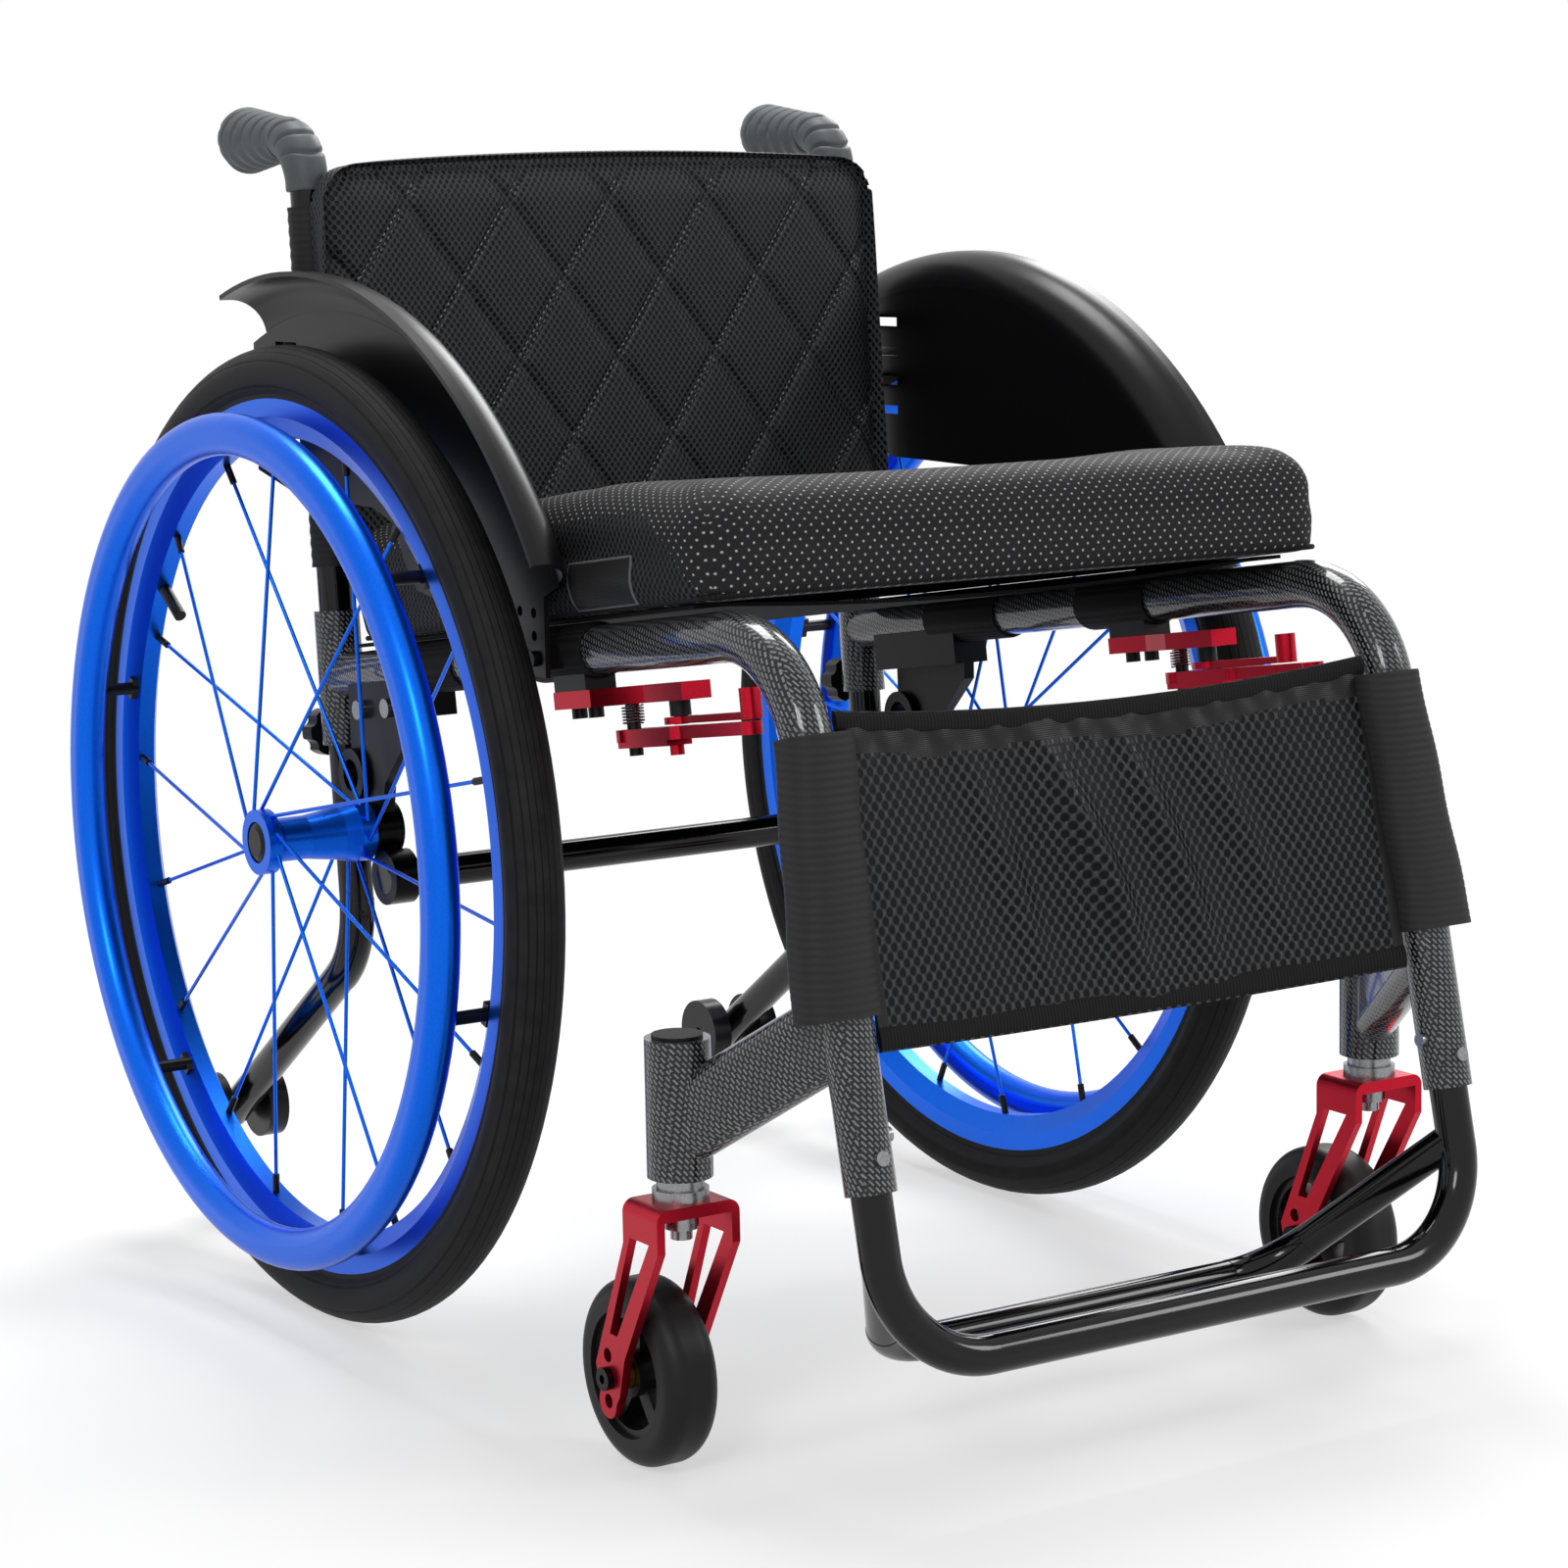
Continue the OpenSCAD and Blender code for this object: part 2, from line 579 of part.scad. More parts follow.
// Hanging strap between the front tubes, with its sag and soft slanting folds
function fold(u, v) = 3.2 * sin(90 * u * 4 + 60 * v) * sin(180 * v) * sin(90 * (u + 1));
module calf_strap() {
  half = rail_x - tube_d / 2 - sleeve_t - near_gap;
  nx = 26;
  nz = 9;
  face = [for (k = [0 : nz]) for (i = [0 : nx]) let (u = 2 * i / nx - 1, v = k / nz)
    [half * u, 16 * (1 - u * u) * (0.4 + 0.3 * v) + fold(u, v),
      -strap_top - strap_len * v - (strap_sag * (1 - v) + 2 * v) * (1 - u * u)]];
  w = nx + 1;
  base = len(face);
  front = [for (p = face) [p[0], p[1] - strap_t / 2, p[2]]];
  back = [for (p = face) [p[0], p[1] + strap_t / 2, p[2]]];
  rim = concat([for (i = [0 : nx]) i], [for (k = [1 : nz]) k * w + nx],
    [for (i = [nx - 1 : -1 : 0]) nz * w + i], [for (k = [nz - 1 : -1 : 1]) k * w]);
  nr = len(rim);
  cells = [for (k = [0 : nz - 1]) for (i = [0 : nx - 1]) k * w + i];
  faces = concat(
    [for (a = cells) for (t = [0, 1]) t == 0 ? [a, a + 1, a + w] : [a + 1, a + w + 1, a + w]],
    [for (a = cells) for (t = [0, 1]) t == 0 ? [base + a, base + a + w, base + a + 1]
      : [base + a + 1, base + a + w, base + a + w + 1]],
    [for (j = [0 : nr - 1]) for (t = [0, 1]) let (p = rim[j], q = rim[(j + 1) % nr])
      t == 0 ? [p, base + p, q] : [q, base + p, base + q]]);
  color("#111112") right() at_corner() translate([rail_x, 0, 0])
    polyhedron(points = concat(front, back), faces = faces, convexity = 6);
}
module calf_sleeves() {
  color("#202021") both() difference() {
    at_corner() translate([0, 0, -sleeve_top - sleeve_len])
      ring(tube_d + 2 * sleeve_t, tube_d + 2 * run_gap, sleeve_len);
    caster_arm(near_gap);
  }
}

// Welded footrest: front bar with its legs and a rear bar joined to the legs
module foot_front() {
  r = foot_r;
  for (m = [0, 1]) mirror([m, 0, 0]) translate([r - rail_x, 0, r]) rotate([90, 0, 0]) rotate([0, 0, 180])
    rotate_extrude(angle = 90) translate([r, 0]) circle(d = inner_d);
  translate([r - rail_x, 0, 0]) rotate([0, 90, 0]) cylinder(d = inner_d, h = 2 * (rail_x - r));
  for (m = [-1, 1]) translate([m * rail_x, 0, r])
    cylinder(d = inner_d, h = foot_drop - r + foot_in);
}
module foot_back() {
  turned = 90 - foot_splay;
  cut = foot_back_r * tan(turned / 2);
  half = rail_x - foot_back_len * tan(foot_splay) - cut;
  leg = foot_back_len / cos(foot_splay) - cut;
  for (m = [0, 1]) mirror([m, 0, 0]) {
    translate([rail_x, 0, 0]) rotate([0, 180 + foot_splay, 0]) cylinder(d = foot_bar_d, h = leg + 0.5);
    translate([half, 0, foot_back_r - foot_back_len]) rotate([90, 0, 0]) rotate([0, 0, -90])
      rotate_extrude(angle = turned) translate([foot_back_r, 0]) circle(d = foot_bar_d + 0.6);
  }
  translate([-half - 0.5, 0, -foot_back_len]) rotate([0, 90, 0]) cylinder(d = foot_bar_d, h = 2 * half + 1);
}
module footrest_frame() {
  color("black") translate([0, axle_y - foot_y, foot_z]) rotate([-front_angle, 0, 0]) union() {
    foot_front();
    translate([0, 0, foot_joint]) rotate([front_angle + foot_tilt, 0, 0]) foot_back();
  }
}

module footrest_screws() {
  color("#202020") both() at_corner() for (a = [0, 90])
    translate([0, 0, -front_len + 18 + a * 0.12]) rotate([0, 0, a]) rotate([90, 0, 0])
      translate([0, 0, tube_d / 2 - 0.4]) cylinder(d = 8, h = 3);
}

module brake_bar() {
  at_brake(0) linear_extrude(10)
    polygon([[-10, -226], [10, -226], [10, -264], [shoe_in + 10, -lever_fwd - 10],
      [shoe_in + 10, -shoe_fwd - 18], [shoe_in - 9, -shoe_fwd - 18], [shoe_in - 9, -lever_fwd - 14],
      [-10, -268]]);
}
module brake_bars() { color("#8e1420") both() brake_bar(); }

module brake_mount() {
  difference() {
    at_brake(0) translate([-10, -264, 10]) cube([20, 36, 14]);
    at_seat() translate([-rail_x, -270, 0]) rotate([-90, 0, 0]) cylinder(d = tube_d + 2 * run_gap, h = 60);
  }
  for (y = [237, 256]) at_brake(y) translate([0, 0, -6]) cylinder(d = 9, h = 6);
  at_brake(lever_fwd, lever_in) translate([0, 0, -29]) cylinder(d = 8, h = 29);
  at_brake(shoe_fwd, shoe_in) {
    translate([0, 0, -9 + near_gap]) cylinder(d = 12, h = 9 - near_gap);
    translate([0, 0, -13.4]) cylinder(d = 8, h = 5);
  }
}
module brake_mounts() { color("#161616") both() brake_mount(); }

// Return spring: one unbroken coil around the lever pivot
function coil(t, r, pitch) = [r * cos(360 * t), r * sin(360 * t), pitch * t];
module brake_spring() {
  r = 4 + near_gap + spring_wire / 2 + 1.4;
  pitch = 10.2 / spring_turns;
  steps = 8 * spring_turns;
  rings = [for (i = [0 : steps]) let (t = i / 8, c = coil(t, r, pitch), a = 360 * t)
    [for (k = [0 : 5]) let (b = 60 * k) c + spring_wire / 2 * [cos(b) * cos(a), cos(b) * sin(a), sin(b)]]];
  echo(least_spring_gap = pitch - spring_wire);
  at_brake(lever_fwd, lever_in) translate([0, 0, -near_gap - spring_wire / 2 - 10.2]) loft(rings);
}
module brake_springs() { color("#101010") both() brake_spring(); }

module brake_lever() {
  at_brake(lever_fwd, lever_in) translate([0, 0, -21]) difference() {
    union() {
      cylinder(d = 21, h = 7);
      translate([-9, -52, 0]) cube([18, 52, 7]);
      translate([0, -52, 0]) cylinder(d = 18, h = 7);
      translate([-6, -lever_len, 0]) cube([12, lever_len - 46, 7]);
      translate([0, -lever_len, 0]) cylinder(d = 13, h = 7);
      translate([-8, -48, -3.4]) cube([16, 54, 3.4]);
      translate([4, -38, -9]) cylinder(d = 8, h = 10);
    }
    translate([0, 0, -5]) cylinder(d = 8 + 2 * run_gap, h = 20);
  }
}
module brake_lever_right() { color("#b01222") right() brake_lever(); }
module brake_lever_left() { color("#b01222") left() brake_lever(); }

module brake_shoe() {
  at_brake(shoe_fwd, shoe_in) translate([0, 0, -13]) difference() {
    union() {
      cylinder(d = 19, h = 4);
      translate([-5, -shoe_len, 0]) cube([10, shoe_len, 4]);
      translate([0, -shoe_len, 0]) cylinder(d = shoe_d, h = 17);
    }
    translate([0, 0, -1]) cylinder(d = 8 + 2 * run_gap, h = 6);
  }
}
module brake_shoe_right() { color("#b01222") right() brake_shoe(); }
module brake_shoe_left() { color("#b01222") left() brake_shoe(); }

// Anti-tip arm: straight top in the rear post, bend and sloping arm with its roller axle
module tip_arm() {
  r = 60;
  bend = 90 + back_angle - tip_angle;
  t = r * tan(bend / 2);
  at_post() {
    translate([0, 0, -tip_drop + t - 0.5]) cylinder(d = inner_d, h = tip_drop - t - 2.5);
    translate([0, r, -tip_drop + t]) side_plane() rotate([0, 0, 180]) rotate_extrude(angle = bend)
      translate([r, 0]) circle(d = inner_d + 0.6);
    translate([0, 0, -tip_drop]) rotate([-180 + bend, 0, 0]) {
      translate([0, 0, t - 0.5]) cylinder(d = inner_d, h = tip_len - t + 6.5);
      translate([-19, 0, tip_len - 6]) rotate([0, 90, 0]) cylinder(d = 8, h = 38);
    }
  }
}
module tip_arm_right() { color("black") right() tip_arm(); }
module tip_arm_left() { color("black") left() tip_arm(); }

module tip_rollers() {
  bend = 90 + back_angle - tip_angle;
  at_post() translate([0, 0, -tip_drop]) rotate([-180 + bend, 0, 0]) translate([0, 0, tip_len - 6])
    rotate([0, 90, 0]) for (s = [-1, 1]) translate([0, 0, s * 20]) difference() {
      translate([0, 0, -7]) cylinder(d = roller_d, h = 14);
      translate([0, 0, -8]) cylinder(d = 8 + 2 * run_gap, h = 16);
    }
}
module tip_rollers_right() { color("#1b1b1b") right() tip_rollers(); }
module tip_rollers_left() { color("#1b1b1b") left() tip_rollers(); }

module star_knob() {
  at_post() translate([0, 0, -36]) rotate([-90, 0, 0]) {
    translate([0, 0, inner_d / 2 + near_gap + run_gap]) cylinder(d = 6, h = 12);
    difference() {
      translate([0, 0, tube_d / 2 + 3.4]) cylinder(d = knob_d, h = 13);
      for (k = [0 : 5]) rotate([0, 0, 60 * k + 30]) translate([knob_d / 2 + 2.5, 0, 0])
        cylinder(d = 10, h = 40);
    }
  }
}
module star_knob_right() { color("#151515") right() star_knob(); }
module star_knob_left() { color("#151515") left() star_knob(); }

module tyre() {
  c = tyre_d / 2 - tyre_w / 2;
  seat = rim_d / 2 + run_gap;
  at_wheel() rotate_extrude($fn = 96) difference() {
    union() {
      translate([c, 0]) circle(d = tyre_w);
      translate([seat, -rim_w / 2]) square([c - seat, rim_w]);
    }
    translate([0, -tyre_w]) square([seat, 2 * tyre_w]);
  }
}
module tyre_right() { color("#1d1d1d") right() tyre(); }
module tyre_left() { color("#1d1d1d") left() tyre(); }

module rim() {
  r = rim_d / 2;
  at_wheel() rotate_extrude($fn = 96)
    polygon([[r, -rim_w / 2], [r, rim_w / 2], [r - 11, rim_w / 2], [r - rim_depth, 5.5],
      [r - rim_depth, -5.5], [r - 11, -rim_w / 2]]);
}
module rim_right() { color("#1040d0") right() rim(); }
module rim_left() { color("#1040d0") left() rim(); }

function spoke_hub(k) = let (s = k % 2 == 0 ? 1 : -1, a = 360 * k / spoke_count + 5 + s * 62,
    r = 0.4 * (s > 0 ? hub_outer_d : hub_inner_d))
  [r * cos(a), r * sin(a), s > 0 ? hub_out - 5 : 5 - hub_in];
function spoke_rim(k) = let (s = k % 2 == 0 ? 1 : -1, a = 360 * k / spoke_count + 5,
    r = rim_d / 2 - rim_depth + 2)
  [r * cos(a), r * sin(a), 2 * s];
module spokes() {
  at_wheel() for (k = [0 : spoke_count - 1]) rod(spoke_hub(k), spoke_rim(k), spoke_d);
}
module spokes_right() { color("#1040d0") right() spokes(); }
module spokes_left() { color("#1040d0") left() spokes(); }

module hub() {
  at_wheel() rotate_extrude() difference() {
    polygon([[0, -hub_in], [hub_inner_d / 2, -hub_in], [hub_inner_d / 2, -hub_in + 10],
      [hub_waist_d / 2 + 3, -hub_in + 20], [hub_waist_d / 2, 4], [hub_waist_d / 2, hub_out - 14],
      [hub_outer_d / 2, hub_out - 9], [hub_outer_d / 2, hub_out], [0, hub_out]]);
    translate([-1, -hub_in - 1]) square([axle_d / 2 + run_gap + 1, hub_in + hub_out + 2]);
    translate([-1, hub_out - 9 - button_travel]) square([button_d / 2 + near_gap + 1, 20 + button_travel]);
  }
}
module hub_right() { color("#1040d0") right() hub(); }
module hub_left() { color("#1040d0") left() hub(); }

module handrim() {
  r = handrim_d / 2 - handrim_w / 2;
  at_wheel() rotate_extrude($fn = 96) translate([0, handrim_out]) union() {
    translate([r, 0]) circle(d = handrim_w);
    translate([r - handrim_oval, 0]) circle(d = handrim_w);
    translate([r - handrim_oval, -handrim_w / 2]) square([handrim_oval, handrim_w]);
  }
}
module handrim_right() { color("#1040d0") right() handrim(); }
module handrim_left() { color("#1040d0") left() handrim(); }

module rim_fittings() {
  r = rim_d / 2 - rim_depth + 5;
  at_wheel() {
    for (k = [0 : tab_count - 1]) rotate([0, 0, 360 * k / tab_count + 14]) translate([r, 0, 0]) {
      translate([0, 0, 5]) cylinder(d = tab_d, h = handrim_out - 5 - handrim_w / 2 + 3);
      translate([-3, -7, 5]) cube([6, 14, 6]);
    }
    for (k = [0 : spoke_count - 1]) {
      v = spoke_hub(k) - spoke_rim(k);
      rod(spoke_rim(k), spoke_rim(k) + v / norm(v) * 15, spoke_d + 2);
    }
    rotate([0, 0, 56]) translate([r - 4, 0, 0]) rotate([0, -90, 0]) cylinder(d = 8, h = 30);
  }
}
module rim_fittings_right() { color("#141414") right() rim_fittings(); }
module rim_fittings_left() { color("#141414") left() rim_fittings(); }

module release_button() {
  at_wheel() translate([0, 0, hub_out - 8]) {
    translate([0, 0, -16]) cylinder(d = axle_d / 2, h = 17);
    cylinder(d = button_d, h = 7);
    translate([0, 0, 7]) cylinder(d1 = button_d, d2 = button_d - 8, h = 2);
  }
}
module release_button_right() { color("black") right() release_button(); }
module release_button_left() { color("black") left() release_button(); }

// Front outline of the fork, with its upper corners rounded
module fork_front() {
  r = fork_t + 2;
  translate([-fork_w / 2, 0]) square([fork_w, fork_top - r]);
  translate([r - fork_w / 2, 0]) square([fork_w - 2 * r, fork_top]);
  for (s = [-1, 1]) translate([s * (fork_w / 2 - r), fork_top - r]) circle(r = r);
}
module fork_leg() {
  low = caster_r;
  back = caster_trail;
  side_plane() linear_extrude(fork_t + 1) difference() {
    union() {
      polygon([[-18, fork_top - 6], [-18, fork_top - 24], [back - 18, low + 14], [back - 12, low - 8],
        [back - 6, low - 17], [back + 7, low - 17], [back + 13, low + 6], [18, fork_top - 24],
        [18, fork_top - 6]]);
      translate([back + 1, low - 14]) circle(d = 18);
    }
    polygon([[-9, fork_top - 20], [11, fork_top - 20], [back - 3, low + 26], [back - 11, low + 26]]);
    for (dz = [-13, 0, 13]) translate([back, low + dz]) circle(d = 8 + 2 * run_gap);
  }
}
module caster_fork() {
  at_stem() difference() {
    intersection() {
      union() {
        translate([-fork_w / 2 - 1, -18, fork_top - 7]) cube([fork_w + 2, 36, 8]);
        translate([-fork_w / 2 - 1, 0, 0]) fork_leg();
        translate([fork_w / 2 - fork_t, 0, 0]) fork_leg();
      }
      translate([0, 2 * caster_trail, 0]) rotate([90, 0, 0]) linear_extrude(4 * caster_trail) fork_front();
    }
    translate([0, 0, fork_top - 20]) cylinder(d = stem_d + 2 * run_gap, h = 30);
  }
}
module caster_fork_right() { color("#c8152a") right() caster_fork(); }
module caster_fork_left() { color("#c8152a") left() caster_fork(); }

module caster_hardware() {
  at_stem() {
    difference() {
      union() {
        translate([0, 0, fork_top - 22]) cylinder(d = stem_d, h = housing_len + washer_h);
        translate([0, 0, fork_top - 16]) cylinder(d = 19, h = 9);
        translate([0, 0, fork_top]) cylinder(d = 31, h = washer_h / 2);
        translate([0, 0, fork_top + washer_h / 2]) cylinder(d = 26, h = washer_h / 2 - near_gap);
      }
      translate([0, 0, fork_top - 30]) cylinder(d = 4, h = 12);
    }
  }
}
module caster_hardware_right() { color("silver") right() caster_hardware(); }
module caster_hardware_left() { color("silver") left() caster_hardware(); }

// Caster axle bolt with a hexagon socket in its outer head
module caster_axle() {
  at_stem() translate([-fork_w / 2 - 4, caster_trail, caster_r]) rotate([0, 90, 0]) difference() {
    union() {
      cylinder(d = 8, h = fork_w + 8);
      cylinder(d = 13, h = 4);
      translate([0, 0, fork_w + 4]) cylinder(d = 13, h = 4);
    }
    translate([0, 0, -1]) linear_extrude(3) polygon([for (k = [0 : 5]) 2.9 * [cos(60 * k), sin(60 * k)]]);
  }
}
module caster_axle_right() { color("#202022") right() caster_axle(); }
module caster_axle_left() { color("#202022") left() caster_axle(); }

module caster_tyre() {
  r = caster_r;
  q = caster_w / 2;
  at_caster() rotate_extrude($fn = 72) difference() {
    union() {
      translate([r - 11, -q + 11]) circle(r = 11);
      translate([r - 11, q - 11]) circle(r = 11);
      translate([r - 11, -q + 11]) square([11, 2 * q - 22]);
      translate([r - 17, -q]) square([6, 2 * q]);
    }
    translate([0, -q - 1]) square([r - 17 + run_gap, 2 * q + 2]);
  }
}
module caster_tyre_right() { color("#1a1a1a") right() caster_tyre(); }
module caster_tyre_left() { color("#1a1a1a") left() caster_tyre(); }

module caster_hub() {
  r = caster_r - 17;
  w = caster_w - 6;
  at_caster() difference() {
    union() {
      translate([0, 0, -w / 2]) ring(2 * r, 2 * r - 9, w);
      translate([0, 0, -fork_w / 2 + fork_t + near_gap])
        cylinder(d = 14, h = fork_w - 2 * fork_t - 2 * near_gap);
      translate([0, 0, -w / 2]) cylinder(d = 26, h = w);
      for (k = [0 : 4]) rotate([0, 0, 72 * k]) translate([11, -5, -w / 2 + 5]) cube([r - 14, 10, w - 10]);
    }
    translate([0, 0, -fork_w]) cylinder(d = 8 + 2 * run_gap, h = 2 * fork_w);
  }
}
module caster_hub_right() { color("#222222") right() caster_hub(); }
module caster_hub_left() { color("#222222") left() caster_hub(); }

side_frame_right();
side_frame_left();
camber_tube();
axle_plates();
plate_bolts();
wheel_axles();
stem_caps();
back_tubes();
back_sling();
back_pad();
push_grips();
seat_sling();
seat_cushion();
guard_right();
guard_left();
guard_clamps();
calf_strap();
calf_sleeves();
footrest_frame();
footrest_screws();
brake_bars();
brake_mounts();
brake_springs();
brake_lever_right();
brake_lever_left();
brake_shoe_right();
brake_shoe_left();
tip_arm_right();
tip_arm_left();
tip_rollers_right();
tip_rollers_left();
star_knob_right();
star_knob_left();
tyre_right();
tyre_left();
rim_right();
rim_left();
spokes_right();
spokes_left();
hub_right();
hub_left();
handrim_right();
handrim_left();
rim_fittings_right();
rim_fittings_left();
release_button_right();
release_button_left();
caster_fork_right();
caster_fork_left();
caster_hardware_right();
caster_hardware_left();
caster_axle_right();
caster_axle_left();
caster_tyre_right();
caster_tyre_left();
caster_hub_right();
caster_hub_left();
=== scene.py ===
import math
import bpy
from mathutils import Matrix, Vector


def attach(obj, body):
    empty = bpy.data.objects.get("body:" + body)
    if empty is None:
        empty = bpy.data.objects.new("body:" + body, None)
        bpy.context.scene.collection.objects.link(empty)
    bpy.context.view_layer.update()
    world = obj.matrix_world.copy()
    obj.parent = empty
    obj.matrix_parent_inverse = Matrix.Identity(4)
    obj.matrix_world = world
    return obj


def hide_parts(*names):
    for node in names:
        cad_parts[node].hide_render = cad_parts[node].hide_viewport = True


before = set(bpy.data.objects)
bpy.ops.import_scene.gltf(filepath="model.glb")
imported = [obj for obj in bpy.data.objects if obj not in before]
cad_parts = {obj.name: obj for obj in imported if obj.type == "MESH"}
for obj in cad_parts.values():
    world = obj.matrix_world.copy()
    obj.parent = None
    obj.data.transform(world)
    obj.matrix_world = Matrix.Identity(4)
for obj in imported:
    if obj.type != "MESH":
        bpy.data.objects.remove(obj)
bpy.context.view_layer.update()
scene = bpy.context.scene
print("frame loaded:", len(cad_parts), "nodes")

# Where the tubes are, in metres and degrees: each soft piece is placed from these
chair = dict(axleY=0.12987, railX=0.199, railZ=0.400, postBack=0.066, postZ=0.39072, seatTilt=8.0, backTilt=4.3,
             cornerFwd=0.464, cornerZ=0.46521, frontTilt=12.9, tubeR=0.014, caneR=0.011)


def tilted(y, z, tilt):
    return Matrix.Translation((0, y, z)) @ Matrix.Rotation(math.radians(-tilt), 4, "X")


seatPlace = tilted(chair["axleY"], chair["railZ"], chair["seatTilt"])
backPlace = tilted(chair["axleY"] + chair["postBack"], chair["postZ"], chair["backTilt"])
frontPlace = tilted(chair["axleY"] - chair["cornerFwd"], chair["cornerZ"], chair["frontTilt"])
onRight = Matrix.Translation((-chair["railX"], 0, 0))


def deselect():
    if bpy.context.mode != "OBJECT":
        bpy.ops.object.mode_set(mode="OBJECT")
    bpy.ops.object.select_all(action="DESELECT")


def pick(piece):
    deselect()
    piece.select_set(True)
    bpy.context.view_layer.objects.active = piece


def applyModifier(piece, kind, **settings):
    pick(piece)
    mod = piece.modifiers.new(kind.lower(), kind)
    for key, value in settings.items():
        setattr(mod, key, value)
    bpy.ops.object.modifier_apply(modifier=mod.name)


# A piece is done: it gets its name, finish and the body that carries it
def settle(piece, name, material, body="frame", replaces=()):
    pick(piece)
    bpy.ops.object.transform_apply(location=True, rotation=True, scale=True)
    piece.name = name
    piece.data.name = name
    if not piece.data.materials:
        piece.data.materials.append(material)
    bpy.ops.object.shade_smooth_by_angle(angle=math.radians(40))
    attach(piece, body)
    if replaces:
        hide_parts(*replaces)
    return piece


def newPiece(name, points, edges, faces):
    data = bpy.data.meshes.new(name)
    data.from_pydata(points, edges, faces)
    piece = bpy.data.objects.new(name, data)
    scene.collection.objects.link(piece)
    return piece


# All faces turned outwards, with doubled points merged first where a shape closes on itself
def faceOutward(piece, merge=False):
    pick(piece)
    bpy.ops.object.mode_set(mode="EDIT")
    bpy.ops.mesh.select_all(action="SELECT")
    if merge:
        bpy.ops.mesh.remove_doubles(threshold=0.00002)
    bpy.ops.mesh.normals_make_consistent(inside=False)
    bpy.ops.object.mode_set(mode="OBJECT")


# Closed profile of (radius, height) turned about the local Z axis, as on a lathe
def turned(profile, steps=40):
    count = len(profile)
    piece = newPiece("turned", [(r, 0, z) for r, z in profile], [(i, (i + 1) % count) for i in range(count)], [])
    pick(piece)
    bpy.ops.object.mode_set(mode="EDIT")
    bpy.ops.mesh.select_all(action="SELECT")
    bpy.ops.mesh.spin(steps=steps, angle=2 * math.pi, center=(0, 0, 0), axis=(0, 0, 1))
    bpy.ops.object.mode_set(mode="OBJECT")
    faceOutward(piece, merge=True)
    return piece


# Rings of points joined into a closed skin, with both ends capped
def skinned(rings):
    count = len(rings[0])
    faces = []
    for k in range(len(rings) - 1):
        for i in range(count):
            j = (i + 1) % count
            faces.append((k * count + i, k * count + j, (k + 1) * count + j, (k + 1) * count + i))
    last = (len(rings) - 1) * count
    faces.append(tuple(range(count - 1, -1, -1)))
    faces.append(tuple(range(last, last + count)))
    piece = newPiece("skinned", [p for ring in rings for p in ring], [], faces)
    faceOutward(piece)
    return piece


# Closed round cord through points, for a seam or a rim
def welt(points, radius):
    data = bpy.data.curves.new("welt", "CURVE")
    data.dimensions = "3D"
    data.bevel_depth = radius
    data.bevel_resolution = 3
    line = data.splines.new("POLY")
    line.points.add(len(points) - 1)
    for p, co in zip(line.points, points):
        p.co = (*co, 1)
    line.use_cyclic_u = True
    piece = bpy.data.objects.new("welt", data)
    scene.collection.objects.link(piece)
    pick(piece)
    bpy.ops.object.convert(target="MESH")
    return bpy.context.object


# Points round a rectangle with rounded corners; steps is the number of faces in a corner
def roundedRect(width, height, corner, steps=10):
    out = []
    for c, (sx, sy) in enumerate(((1, 1), (-1, 1), (-1, -1), (1, -1))):
        x, y = sx * (width / 2 - corner), sy * (height / 2 - corner)
        for k in range(steps + 1):
            a = math.radians(90 * c + 90 * k / steps)
            out.append((x + corner * math.cos(a), y + corner * math.sin(a)))
    return out


# A colour written as on a screen, turned to the linear light that Blender counts in
def lin(hexText):
    out = []
    for i in (0, 2, 4):
        c = int(hexText[i:i + 2], 16) / 255
        out.append(c / 12.92 if c <= 0.04045 else ((c + 0.055) / 1.055) ** 2.4)
    return (*out, 1.0)


def addNode(mat, kind, settings=None, links=None):
    node = mat.node_tree.nodes.new(kind)
    for key, value in (settings or {}).items():
        if isinstance(key, str) and hasattr(node, key):
            setattr(node, key, value)
        else:
            node.inputs[key].default_value = value
    for key, source in (links or {}).items():
        mat.node_tree.links.new(source, node.inputs[key])
    return node


# A new material, its shader and its texture coordinates
def startMaterial(name, **shaderSettings):
    mat = bpy.data.materials.new(name)
    mat.use_nodes = True
    shader = mat.node_tree.nodes["Principled BSDF"]
    for key, value in shaderSettings.items():
        shader.inputs[key.replace("_", " ")].default_value = value
    return mat, shader, addNode(mat, "ShaderNodeTexCoord")


def link(mat, source, shader, socket):
    mat.node_tree.links.new(source, shader.inputs[socket])


